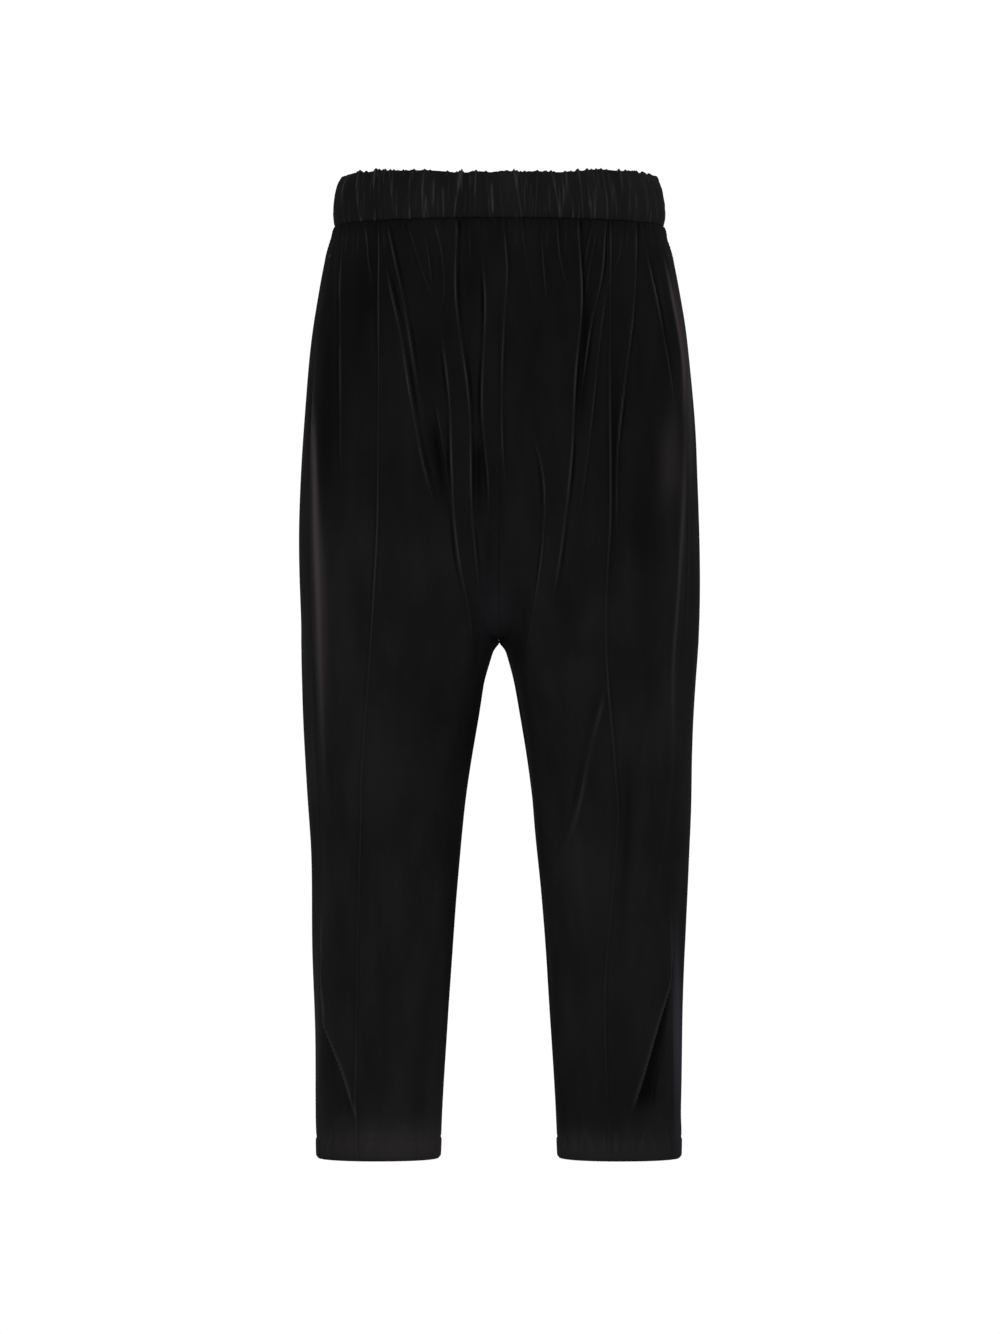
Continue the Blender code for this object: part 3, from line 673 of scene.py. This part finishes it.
def cloth(sections, distances, behind=0.0):
    """Points (x, y, z) of a panel's outer surface, at distances from its side seam on each section."""
    side, face, drops = sections.side, sections.face, sections.drops
    sizes = bpy.context.scene.pants_sizes
    to_centre = sections.length[:, None] - distances
    share = mouth_share(drops)[:, None]
    gape = share * np.maximum(0.0, 1 - distances / MOUTH_REACH) if face == FRONT else 0.0
    x, y, normal = sections.place(distances + MOUTH_GAPE * gape)
    here = sections.along(distances)
    crests, laps = crest_relief(sections, here)[0], lap_relief(sections, here)[0]
    creases = sizes.fold * fold_relief(sections, here) + sizes.crest * (crests + laps)
    creases += sizes.pucker * pucker_relief(sections, here)
    creases += swell_relief(sections, distances)
    towards_crotch = ease((drops - CROTCH_START) / (RISE - CROTCH_START))[:, None]
    beside_inseam = towards_crotch * (1 - ease(to_centre / INSEAM_FADE))
    above_hem = ease((HEM_DROP - drops) / HEM_FADE)[:, None]
    relief = creases * ease(distances / SEAM_FADE) * (1 - beside_inseam)
    relief *= HEM_CREASES + (1 - HEM_CREASES) * above_hem
    relief += seam_relief(sections, distances)
    for bulge in BULGES:
        if bulge.side == side:
            up = bell(drops - bulge.drop, bulge.height)
            relief += bulge.rise * up[:, None] * bell(distances, bulge.reach)
    if face == FRONT:
        off = np.abs(distances - sections.tuck()[:, None]) / (TUCK_WIDTH / 2)
        relief += sizes.tuck_rise * (bell(2.6 * off) - 0.35 * bell(3.2 * (off - 0.85)))
        relief += MOUTH_LIFT * share * np.maximum(0.0, 1 - distances / (2 * MOUTH_REACH))
    relief -= behind
    points = np.stack([side * (x + normal[0] * relief), y + normal[1] * relief], axis=-1)
    z = np.broadcast_to((WAISTBAND / 2 - drops)[:, None], x.shape)
    return np.concatenate([points, z[..., None]], axis=-1)


def paint_relief_shading(sections, distances):
    """Painted light and shade: from 1, a painted highlight on a crest, to -1, painted shade in a hollow."""
    drops, here = sections.drops, sections.along(distances)
    lie = crest_relief(sections, here)[1] + lap_relief(sections, here)[1]
    # A painted highlight over the puckers, and painted shade just under the waist seam
    lie += 300.0 * pucker_relief(sections, here)
    lie -= 0.6 * bell(drops[:, None] - PANEL_TOP, 0.010)
    # Along a front's tuck, a painted highlight with painted shade at both sides of it
    if sections.face == FRONT:
        off = distances - sections.tuck()[:, None]
        fade = (0.44 + 0.16 * np.sin(23 * drops + sections.side)) * (1 - 0.5 * ease((drops - 0.45) / 0.2))
        lie += fade[:, None] * (bell(off, 0.0012) - bell(np.abs(off) - 0.0027, 0.0010))
    return np.clip(lie, -1.0, 1.0)


def painted_light_and_shade(sections, distances):
    """(warm, cool, shade): the painted warm and cool highlights, and the painted shade."""
    drops, here = sections.drops, sections.along(distances)
    light = np.zeros((3, *distances.shape))
    for patch in PAINTED_PATCHES:
        if (patch.side, patch.face) == (sections.side, sections.face):
            across = ((distances - patch.from_seam) / patch.width) ** 2
            up = ((drops[:, None] - patch.drop) / patch.height) ** 2
            strength = np.array([patch.warm, patch.cool, patch.deep])
            light += strength[:, None, None] * np.exp(-across - up)
    for streak in PAINTED_STREAKS:
        at, x = streak.path.T
        if streak.face == sections.face and x[0] * sections.side > 0:
            off = sections.off_path(here, at, x)
            strength = np.array([streak.warm, streak.cool, streak.deep])
            light += strength[:, None, None] * ridge(off / streak.width, at[0], at[-1], drops, 0.6)
    # Painted shade beside the inseams below the crotch, and a painted warm highlight beside them low down
    to_inseam = sections.length[:, None] - distances
    below = ease((drops[:, None] - RISE) / 0.020) * (1 - ease((drops[:, None] - 0.520) / 0.120))
    light[2] += (0.75 if sections.side == LEFT else 0.30) * below * bell(to_inseam, 0.009)
    light[0] += 0.34 * ease((drops[:, None] - 0.700) / 0.200) * bell(to_inseam, 0.010)
    light[2] = np.clip(light[2], 0.0, 1.0)
    return light


def seam_relief(sections, distances):
    """The cloth dips into every seam and at the hem stitching, and is fuller over the turned hem."""
    drops = sections.drops[:, None]
    closed = 1 - mouth_share(sections.drops)[:, None]
    relief = -SIDE_DIP * closed * bell(distances, DIP_WIDTH)
    relief += SIDE_SWELL * closed * bell(distances - SWELL_PLACE, SWELL_WIDTH)
    relief -= CENTRE_DIP * bell(sections.length[:, None] - distances, DIP_WIDTH)
    relief -= WAIST_DIP * bell(drops - PANEL_TOP, STITCHED_WIDTH)
    relief -= HEM_DIP * bell(drops - HEM_DROP, STITCHED_WIDTH)
    rolled = ease((drops - LENGTH + HEM_TURN) / HEM_TURN) ** 2
    relief += HEM_SWELL * ease((drops - HEM_DROP) / HEM_TURN) - HEM_ROLL * rolled
    return relief


def panel_rows(face):
    """The drops of a panel's rows, closer at the gathers, the crotch, the laps and the turned-up hem."""
    spans = (
        (PANEL_TOP, 0.120, 0.0034),
        (0.120, 0.430, 0.0062),
        (0.430, 0.500, 0.0028),
        (0.500, 0.740, 0.0050 if face == FRONT else 0.0090),
        (0.740, 0.965, 0.0046),
        (0.965, LENGTH, 0.0028),
    )
    rows = [
        np.linspace(top, bottom, round((bottom - top) / step), endpoint=False)
        for top, bottom, step in spans
    ]
    return np.concatenate(rows + [[LENGTH]])


def panel_columns(sections):
    """Distances from the side seam for each row. The front's columns follow its tuck."""
    if sections.face == BACK:
        shares = np.linspace(0.0, 1.0, BACK_COLUMNS)
        return sections.distances_at(np.broadcast_to(shares, (len(sections.drops), BACK_COLUMNS)))
    tuck = sections.tuck()[:, None]
    half = 0.7 * TUCK_WIDTH
    before, over, past = FRONT_COLUMNS
    begin = sections.read(sections.even, tuck + half)
    return np.concatenate(
        [
            (tuck - half) * np.linspace(0.0, 1.0, before, endpoint=False),
            tuck + half * np.linspace(-1.0, 1.0, over),
            sections.distances_at(begin + (1 - begin) * np.linspace(0.0, 1.0, past + 1)[1:]),
        ],
        axis=1,
    )


def grid_mesh(points, **pile):
    """A bmesh grid whose vertices are moved to an array of points, with the painted light and shade given at
    each.
    """
    rows, columns = points.shape[:2]
    bm = bmesh.new()
    layers = [(bm.verts.layers.float.new(name), values) for name, values in pile.items()]
    bmesh.ops.create_grid(bm, x_segments=columns - 1, y_segments=rows - 1, size=0.5)
    for vert in bm.verts:
        row = round((0.5 - vert.co.y) * (rows - 1))
        column = round((vert.co.x + 0.5) * (columns - 1))
        vert.co = points[row, column]
        for layer, values in layers:
            vert[layer] = values[row, column]
    return bm


def face_outwards(bm, outward):
    """Turns an open sheet so that its faces as a whole look outward."""
    bm.normal_update()
    if sum(face.normal.dot(outward) * face.calc_area() for face in bm.faces) < 0:
        bmesh.ops.reverse_faces(bm, faces=bm.faces[:])


def finished(name, bm, material):
    """A smooth object of the bmesh, on the root body, with its slot."""
    mesh = bpy.data.meshes.new(name)
    bm.to_mesh(mesh)
    bm.free()
    mesh.shade_smooth()
    mesh.materials.append(material)
    obj = bpy.data.objects.new(name, mesh)
    bpy.context.scene.collection.objects.link(obj)
    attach(obj, "root")
    return obj


def thicken(obj):
    """Gives a sheet its thickness, inwards."""
    wall = obj.modifiers.new("thickness", "SOLIDIFY")
    wall.thickness = bpy.context.scene.pants_sizes.cloth
    wall.offset = -1.0


def turn_in_edges(points, sections):
    """Adds the seam allowances of both sides and of the waist, which lie inside the garment."""
    length = sections.length[:, None]
    at_seam, at_centre = cloth(sections, 0 * length, TURNED_IN), cloth(sections, length, TURNED_IN)
    points = np.concatenate([at_seam, points, at_centre], axis=1)
    middle = points.mean(axis=1, keepdims=True)[:1]
    inward = middle - points[:1]
    inward[..., 2] = 0.0
    inward /= np.linalg.norm(inward, axis=-1, keepdims=True)
    return np.concatenate([points[:1] + TURNED_IN * inward, points], axis=0)


def make_panel(side, side_word, face, face_word, material):
    drops = panel_rows(face)
    sections = Sections(side, face, drops)
    distances = panel_columns(sections)
    points = cloth(sections, distances)
    # The painted light and shade at each point, kept on the mesh for the velour's colour
    pile = (paint_relief_shading(sections, distances), *painted_light_and_shade(sections, distances))
    lie, warm, cool, deep = (np.pad(values, ((1, 0), (1, 1)), mode="edge") for values in pile)
    bm = grid_mesh(turn_in_edges(points, sections), lie=lie, warm=warm, cool=cool, deep=deep)
    face_outwards(bm, Vector((0.0, -face, 0.0)))
    node = f"{face_word}_{side_word}"
    panel = finished(f"{node}_velour", bm, material)
    thicken(panel)
    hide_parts(node)


def make_facing(side, word, material):
    """The cloth that shows in a pocket mouth, behind both panels and across the side seam."""
    drops = np.arange(MOUTH_TOP - FACING_BEYOND, MOUTH_BOTTOM + FACING_BEYOND, 0.004)
    depth = WALL + FACING_GAP
    reach = np.broadcast_to(np.linspace(0.0, FACING_REACH, 15), (len(drops), 15))
    behind_front = cloth(Sections(side, FRONT, drops), reach, depth)
    behind_back = cloth(Sections(side, BACK, drops), reach[:, 1:], depth)[:, ::-1]
    points = np.concatenate([behind_back, behind_front], axis=1)
    bm = grid_mesh(points)
    face_outwards(bm, Vector((side, 0.0, 0.0)))
    facing = finished(f"pocket_facing_{word}_velour", bm, material)
    thicken(facing)
    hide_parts(f"pocket_facing_{word}")


class Band:
    """The surface of one half of the waistband, with gathers at places along its cloth from the centre."""

    def __init__(self, face):
        self.face = face
        self.sections = Sections(LEFT, face, np.array([0.0]))
        self.gathers = GATHERS if face == FRONT else tuple(self.back_gathers())

    def back_gathers(self):
        """Gathers like the front's, over the back and round both sides."""
        chance = random.Random(23)
        x = -0.164
        while x < 0.164:
            top = chance.choice((0.0, 0.0, 0.004, 0.012))
            foot = chance.choice((0.024, 0.034, 0.048, 0.048))
            foot_x, rise = x + chance.uniform(-0.007, 0.008), chance.uniform(0.0010, 0.0018)
            yield GATHERS[0]._replace(top_x=x, foot_x=foot_x, top=top, foot=foot, rise=rise)
            x += chance.uniform(0.006, 0.0135)

    def relief(self, here, drop):
        """How far the gathers raise the casing at places along the cloth."""
        raised = np.zeros_like(here)
        for gather in self.gathers:
            t = drop / WAISTBAND
            x = gather.top_x + (gather.foot_x - gather.top_x) * t
            middle = self.sections.from_centre(np.array([x]))[0]
            start = 1.0 if gather.top == 0 else float(ease((drop - gather.top) / 0.008 + 0.5))
            end = 1.0 if gather.foot >= WAISTBAND else float(ease((gather.foot - drop) / 0.010 + 0.5))
            rise = GATHER_SHARE * gather.rise * start * end
            raised += rise * bell(here - middle, GATHER_WIDTH, GATHER_ROUND)
        chance = random.Random(31 + self.face)
        place = -float(self.sections.length[0])
        while place < float(self.sections.length[0]):
            place += chance.uniform(0.0016, 0.0044)
            lean, rise = chance.uniform(-0.09, 0.09), chance.uniform(0.0002, 0.0009)
            wave, width = chance.uniform(0, 6.3), chance.uniform(0.0007, 0.0013)
            fade = ease(0.5 + 0.9 * math.sin(wave + 110 * drop))
            raised += FINE_SHARE * rise * fade * bell(here - place - lean * drop, width, GATHER_ROUND)
        return raised

    def points(self, here, profile):
        """Points of the casing at places along the cloth from the centre, for one point of its section."""
        length = self.sections.length[0]
        distances = np.clip(length - np.abs(here), SEAM_GAP / 2, length)
        side = np.where(here < 0, -1.0, 1.0)
        x, y, normal = self.sections.place(distances[None, :])
        fade = ease((length - np.abs(here)) / 0.006)
        raised = self.relief(here, profile.drop) * profile.gather * fade * bpy.context.scene.pants_sizes.crest
        beside_seam = ease(1 - distances / 0.045)
        out = profile.outset + raised - 0.009 * beside_seam * max(0.0, 1 - profile.drop / 0.016) ** 2
        rim = max(0.0, 1 - profile.drop / 0.006)
        slow = 0.0006 * np.sin(61 * here + self.face) + 0.0005 * np.sin(149 * here + 2 * np.sin(37 * here))
        scallop = 2.0 * self.relief(here, 0.0) * fade - 0.0012 + slow
        to_side = ease(np.abs(here) / length) if self.face == FRONT else np.ones_like(here)
        drop = profile.drop - rim * scallop - SIDE_RISE * to_side * (1 - profile.drop / WAISTBAND)
        x, y = side * (x[0] + normal[0][0] * out), y[0] + normal[1][0] * out
        return np.stack([x, y, WAISTBAND / 2 - drop], axis=-1)


def make_band(face, word, material):
    """Half of the elastic casing, closed round its section and at its ends."""
    band = Band(face)
    length = band.sections.length[0]
    here = np.linspace(length, -length, BAND_COLUMNS[face])
    ring = BAND_PROFILE + BAND_PROFILE[:1]
    # Painted highlights over the gathers, and slight painted shade between them
    lie = np.array([np.clip(720.0 * band.relief(here, profile.drop) - 0.22, -1, 1) for profile in ring])
    bm = grid_mesh(np.array([band.points(here, profile) for profile in ring]), lie=lie)
    bmesh.ops.remove_doubles(bm, verts=bm.verts[:], dist=1e-5)
    bmesh.ops.holes_fill(bm, edges=[edge for edge in bm.edges if edge.is_boundary], sides=0)
    bmesh.ops.recalc_face_normals(bm, faces=bm.faces[:])
    node = f"waistband_{word}"
    casing = finished(f"{node}_velour", bm, material)
    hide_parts(node)


def stitch_row(bm, starts, ends, outward, width):
    """Adds a stitch from each start to each end: a short round thread that dips at both ends."""
    for start, end, out in zip(starts, ends, outward):
        made = bmesh.ops.create_uvsphere(bm, u_segments=6, v_segments=4, radius=0.5)["verts"]
        along = Vector(end) - Vector(start)
        across = Vector(out).cross(along).normalized()
        up = along.cross(across).normalized()
        turn = Matrix((across * width, up * width * 0.8, along)).transposed().to_4x4()
        turn.translation = (Vector(start) + Vector(end)) / 2
        bmesh.ops.transform(bm, matrix=turn, verts=made)


def stitches_on_cloth(bm, side, face, drops, distances, raise_by=0.0002):
    """Stitches along a path on a panel, from its drops and distances from the side seam."""
    sizes = bpy.context.scene.pants_sizes
    column = distances[:, None]
    sections = Sections(side, face, drops)
    points, beside = cloth(sections, column)[:, 0], cloth(sections, column + 0.001)[:, 0]
    below = cloth(Sections(side, face, drops + 0.001), column)[:, 0]
    normals = np.cross(beside - points, below - points)
    normals /= np.linalg.norm(normals, axis=1)[:, None]
    flip = np.sign(np.sum(normals * (points * [1, 1, 0] - [side * 0.09, 0, 0]), axis=1))
    normals *= np.where(flip == 0, 1, flip)[:, None]
    points = points + normals * raise_by
    run = np.concatenate([[0.0], np.cumsum(np.linalg.norm(np.diff(points, axis=0), axis=1))])
    begins = np.arange(0.0, run[-1] - sizes.stitch_length, sizes.stitch_length + sizes.stitch_gap)

    def at(where, values):
        return np.stack([np.interp(where, run, values[:, k]) for k in range(3)], axis=-1)

    ends = at(begins + sizes.stitch_length, points)
    stitch_row(bm, at(begins, points), ends, at(begins, normals), sizes.thread)


class Value:
    """A shader socket that is worked with like a number."""

    def __init__(self, finish, socket):
        self.finish, self.socket = finish, socket

    def _maths(self, operation, first, second):
        return self.finish.add("ShaderNodeMath", {"operation": operation}, {0: first, 1: second}).out(0)

    def __add__(self, other):
        return self._maths("ADD", self, other)

    def __mul__(self, other):
        return self._maths("MULTIPLY", self, other)

    __radd__, __rmul__ = __add__, __mul__

    def between(self, low, high):
        """0 at low and 1 at high, with a smooth step between."""
        ends = {"Value": self, "From Min": low, "From Max": high}
        return self.finish.add("ShaderNodeMapRange", {"interpolation_type": "SMOOTHSTEP"}, ends).out("Result")


class Node:
    """A shader node just added."""

    def __init__(self, finish, node):
        self.finish, self.node = finish, node

    def out(self, name):
        return Value(self.finish, self.node.outputs[name])


class Finish:
    """A material under construction."""

    def __init__(self, name):
        self.material = bpy.data.materials.new(name)
        self.material.use_nodes = True
        self.tree = self.material.node_tree
        self.shader = self.tree.nodes["Principled BSDF"]

    def add(self, kind, settings=None, inputs=None):
        """Adds a node: its settings first, then the values or links of its sockets."""
        node = self.tree.nodes.new(kind)
        for name, value in (settings or {}).items():
            setattr(node, name, value)
        for name, value in (inputs or {}).items():
            self.feed(node.inputs[name], value)
        return Node(self, node)

    def feed(self, socket, value):
        if isinstance(value, Value):
            self.tree.links.new(value.socket, socket)
        else:
            socket.default_value = (*value, 1.0) if socket.type == "RGBA" else value

    def surface(self, **inputs):
        for name, value in inputs.items():
            self.feed(self.shader.inputs[name.replace("_", " ")], value)

    def place(self, stretch=(1.0, 1.0, 1.0)):
        """The place on the object in metres, closer together or farther apart along each axis."""
        where = self.add("ShaderNodeTexCoord").out("Object")
        return self.add("ShaderNodeMapping", None, {"Vector": where, "Scale": stretch}).out("Vector")

    def noise(self, scale, detail=2.0, stretch=(1.0, 1.0, 1.0)):
        inputs = {"Vector": self.place(stretch), "Scale": scale, "Detail": detail}
        return self.add("ShaderNodeTexNoise", None, inputs).out("Fac")

    def blend(self, share, first, second):
        inputs = {"Factor": share, 6: first, 7: second}
        return self.add("ShaderNodeMix", {"data_type": "RGBA"}, inputs).out(2)

    def bump(self, height, distance, strength=1.0):
        inputs = {"Height": height, "Distance": distance, "Strength": strength}
        return self.add("ShaderNodeBump", None, inputs).out("Normal")


def velour_finish(colours):
    """Black velour: a near-black ground under a short pile that shines where the cloth turns away."""
    finish = Finish("black_velour")
    mottle = finish.noise(9.0, 3.0)
    brushed = finish.noise(38.0, 3.0, (1.0, 1.0, 0.22))
    pile = finish.noise(1500.0, 2.0)
    tone = 0.35 * mottle + 0.4 * brushed + 0.25 * pile
    colour = finish.blend(tone.between(0.34, 0.66), colours.pile, colours.pile_light)
    # The painted light and shade kept on the mesh
    lie, warm, cool, deep = (
        finish.add("ShaderNodeAttribute", {"attribute_name": name}).out("Fac")
        for name in ("lie", "warm", "cool", "deep")
    )
    # Painted shade, then painted warm and cool highlights
    colour = finish.blend(deep, colour, colours.hollow)
    colour = finish.blend(warm.between(0.0, 1.0), colour, colours.painted_warm_sheen)
    colour = finish.blend(cool.between(0.0, 1.0), colour, colours.painted_cool_sheen)
    # A painted highlight on crests, lap edges, puckers and gathers, and painted shade in hollows and recesses
    colour = finish.blend(lie.between(0.0, 1.0), colour, colours.crest)
    colour = finish.blend((lie * -1.0).between(0.0, 1.4), colour, colours.hollow)
    height = 0.75 * pile + 0.25 * finish.noise(420.0, 3.0)
    finish.surface(Base_Color=colour, Roughness=0.78 + 0.2 * pile, Normal=finish.bump(height, 0.0004, 0.6))
    finish.surface(Sheen_Weight=0.015, Sheen_Roughness=0.30, Sheen_Tint=(0.96, 0.94, 1.0))
    finish.surface(Specular_IOR_Level=0.0)
    return finish.material


def inside_finish(colours):
    """The knitted back of the velour: flat, with fine ribs of loops."""
    finish = Finish("velour_back")
    loops = finish.add(
        "ShaderNodeTexWave",
        {"wave_type": "BANDS", "bands_direction": "Z"},
        {"Vector": finish.place(), "Scale": 260.0, "Distortion": 1.2},
    ).out("Fac")
    fuzz = finish.noise(900.0)
    colour = finish.blend(loops, colours.inside, [0.6 * c for c in colours.inside])
    finish.surface(Base_Color=colour, Roughness=0.85 + 0.15 * fuzz, Normal=finish.bump(loops, 0.0003, 0.5))
    return finish.material


def thread_finish(colours):
    """Black sewing thread, smoother than the pile around it."""
    finish = Finish("black_thread")
    twist = finish.noise(2600.0)
    colour = finish.blend(twist, colours.thread, [1.7 * c for c in colours.thread])
    finish.surface(Base_Color=colour, Roughness=0.62 + 0.2 * twist, Normal=finish.bump(twist, 0.0002, 0.5))
    finish.surface(Specular_IOR_Level=0.08)
    return finish.material


def own_material(name, make):
    """The material of that name, made once."""
    return bpy.data.materials.get(name) or make(bpy.context.scene.pants_colours)


def length_property(name, description, default):
    return FloatProperty(name=name, description=description, default=default, unit="LENGTH")


def factor_property(name, description, default):
    return FloatProperty(name=name, description=description, default=default)


def colour_property(name, description, *default):
    return FloatVectorProperty(name=name, description=description, default=default, subtype="COLOR")


class PantsSizes(bpy.types.PropertyGroup):
    """Sizes of the cloth and sewing."""

    cloth: length_property("Cloth", "Thickness of the velour", 0.0014)
    fold: factor_property("Folds", "Height of the broad folds against the solids'", 0.75)
    crest: factor_property("Crests", "Height of the narrow crests against the photo's", 1.0)
    pucker: factor_property("Puckers", "Height of the short puckers at the sewing", 1.0)
    tuck_rise: length_property("Tuck", "Height of the stitched tucks", 0.0009)
    stitch_length: length_property("Stitch", "Length of a stitch", 0.0026)
    stitch_gap: length_property("Stitch gap", "Between two stitches", 0.0010)
    thread: length_property("Thread", "Thickness of the thread", 0.0005)


class PantsColours(bpy.types.PropertyGroup):
    """Colours of the cloth, the thread and the studio."""

    pile: colour_property("Pile", "Deepest black of the pile", 0.0050, 0.0050, 0.0052)
    pile_light: colour_property("Raised pile", "Where the pile is brushed up", 0.0086, 0.0084, 0.0090)
    # A painted highlight, over fold crests
    crest: colour_property("Crests", "Where the pile opens over a fold", 0.0205, 0.0198, 0.0208)
    # Painted warm and cool sheen highlights
    painted_warm_sheen: colour_property("Warm nap", "Brushed pile in warm light", 0.0300, 0.0252, 0.0258)
    painted_cool_sheen: colour_property("Cool nap", "Brushed pile in cool light", 0.0210, 0.0198, 0.0256)
    hollow: colour_property("Hollows", "Where the pile is shaded", 0.0016, 0.0016, 0.0017)
    inside: colour_property("Inside", "The back of the cloth", 0.016, 0.016, 0.018)
    thread: colour_property("Thread", "Sewing thread", 0.008, 0.0075, 0.0085)
    studio: colour_property("Studio", "White all round", 1.0, 1.0, 1.0)


class PANTS_OT_panels(bpy.types.Operator):
    """Lay the two fronts and two backs"""

    bl_idname = "pants.panels"
    bl_label = "Front and back panels"

    def execute(self, context):
        velour = own_material("black_velour", velour_finish)
        for side, side_word in SIDES:
            for face, face_word in FACES:
                make_panel(side, side_word, face, face_word, velour)
        return {"FINISHED"}


class PANTS_OT_waistband(bpy.types.Operator):
    """Gather both halves of the elastic waistband"""

    bl_idname = "pants.waistband"
    bl_label = "Waistband"

    def execute(self, context):
        for face, word in FACES:
            make_band(face, word, own_material("black_velour", velour_finish))
        return {"FINISHED"}


class PANTS_OT_pockets(bpy.types.Operator):
    """Lay the facings behind both pocket mouths"""

    bl_idname = "pants.pockets"
    bl_label = "Pocket facings"

    def execute(self, context):
        for side, word in SIDES:
            make_facing(side, word, own_material("velour_back", inside_finish))
        return {"FINISHED"}


class PANTS_OT_sewing(bpy.types.Operator):
    """Sew the tucks, the pocket mouths and the hems"""

    bl_idname = "pants.sewing"
    bl_label = "Sewing"

    def execute(self, context):
        thread = own_material("black_thread", thread_finish)
        for side, word in SIDES:
            self.sew_tuck(side, word, thread)
            self.sew_mouth(side, word, thread)
            self.sew_hem(side, word, thread)
        return {"FINISHED"}

    def sew_tuck(self, side, word, thread):
        drops = np.arange(PANEL_TOP + 0.002, HEM_DROP, STITCH_STEP)
        tuck = Sections(side, FRONT, drops).tuck()
        bm = bmesh.new()
        stitches_on_cloth(bm, side, FRONT, drops, tuck + 0.62 * TUCK_WIDTH)
        finished(f"tuck_stitches_{word}", bm, thread)

    def sew_mouth(self, side, word, thread):
        """A row beside the mouth's edge, and a bar tack at both of its ends."""
        drops = np.arange(MOUTH_TOP - 0.004, MOUTH_BOTTOM + 0.004, STITCH_STEP)
        bm = bmesh.new()
        stitches_on_cloth(bm, side, FRONT, drops, np.full_like(drops, 0.0065))
        for drop in (MOUTH_TOP - 0.003, MOUTH_BOTTOM + 0.003):
            for step in range(TACK_ROWS):
                row = np.full(4, drop + TACK_STEP * step)
                stitches_on_cloth(bm, side, FRONT, row, np.linspace(0.0006, 0.0072, 4), 0.0003)
        finished(f"pocket_stitches_{word}", bm, thread)

    def sew_hem(self, side, word, thread):
        bm = bmesh.new()
        for face, _ in FACES:
            length = float(Sections(side, face, np.array([HEM_DROP])).length[0])
            distances = np.arange(0.001, length - 0.001, STITCH_STEP)
            stitches_on_cloth(bm, side, face, np.full_like(distances, HEM_DROP), distances)
        finished(f"hem_stitches_{word}", bm, thread)


class PANTS_OT_stage(bpy.types.Operator):
    """Set up the white studio, its lights and the camera"""

    bl_idname = "pants.stage"
    bl_label = "Studio"

    camera_distance: length_property("Camera distance", "From the camera to the garment's middle", 4.6)
    frame_height: length_property("Frame height", "Height of the view at the garment", 1.367)
    eye_level: length_property("Camera height", "Of the camera over the middle of the waistband", -0.4736)

    def execute(self, context):
        self.lights()
        self.camera(context)
        return {"FINISHED"}

    def lights(self):
        middle = Vector((0.0, 0.0, -0.45))
        lamps = (
            ("side_light_left", (-2.6, -0.9, 0.5), (0.5, 2.0), 14.0),
            ("side_light_right", (2.6, -0.7, 0.5), (0.5, 2.0), 16.0),
            ("front_light", (-0.9, -4.2, 2.6), (1.2, 1.2), 60.0),
            ("back_light", (0.7, 3.6, 2.2), (1.2, 1.2), 40.0),
        )
        for name, place, size, power in lamps:
            lamp = bpy.data.lights.new(name, "AREA")
            lamp.shape = "RECTANGLE"
            lamp.size, lamp.size_y = size
            lamp.energy = power
            light = bpy.data.objects.new(name, lamp)
            light.location = place
            light.rotation_euler = (middle - light.location).to_track_quat("-Z", "Y").to_euler()
            bpy.context.scene.collection.objects.link(light)
        world = bpy.data.worlds.new("studio")
        world.use_nodes = True
        white = (*bpy.context.scene.pants_colours.studio, 1.0)
        world.node_tree.nodes["Background"].inputs["Color"].default_value = white
        world.node_tree.nodes["Background"].inputs["Strength"].default_value = 1.02
        bpy.context.scene.world = world

    def camera(self, context):
        lens = bpy.data.cameras.new("camera")
        lens.sensor_width = 36.0
        lens.lens = 36.0 * self.camera_distance / self.frame_height
        camera = bpy.data.objects.new("camera", lens)
        camera.location = (0.001, -self.camera_distance, self.eye_level)
        camera.rotation_euler = (math.pi / 2, 0.0, 0.0)
        context.scene.collection.objects.link(camera)
        context.scene.camera = camera
        context.scene.view_settings.view_transform = "Standard"


class PANTS_PT_sidebar(bpy.types.Panel):
    """Lists the pieces and their sizes and colours"""

    bl_idname = "PANTS_PT_sidebar"
    bl_label = "Track Pants"
    bl_space_type = "VIEW_3D"
    bl_region_type = "UI"
    bl_category = "Track Pants"

    def draw(self, context):
        layout = self.layout
        for group in (context.scene.pants_sizes, context.scene.pants_colours):
            box = layout.box()
            for name in group.__annotations__:
                box.prop(group, name)
        for operator in OPERATORS:
            layout.operator(operator.bl_idname)


OPERATORS = (PANTS_OT_panels, PANTS_OT_waistband, PANTS_OT_pockets, PANTS_OT_sewing, PANTS_OT_stage)
CLASSES = (PantsSizes, PantsColours) + OPERATORS + (PANTS_PT_sidebar,)


def register():
    for cls in CLASSES:
        bpy.utils.register_class(cls)
    bpy.types.Scene.pants_sizes = PointerProperty(type=PantsSizes)
    bpy.types.Scene.pants_colours = PointerProperty(type=PantsColours)


def unregister():
    del bpy.types.Scene.pants_colours
    del bpy.types.Scene.pants_sizes
    for cls in reversed(CLASSES):
        bpy.utils.unregister_class(cls)


def main():
    register()
    bpy.ops.pants.panels()
    bpy.ops.pants.waistband()
    bpy.ops.pants.pockets()
    bpy.ops.pants.sewing()
    bpy.ops.pants.stage()


if __name__ == "__main__":
    main()
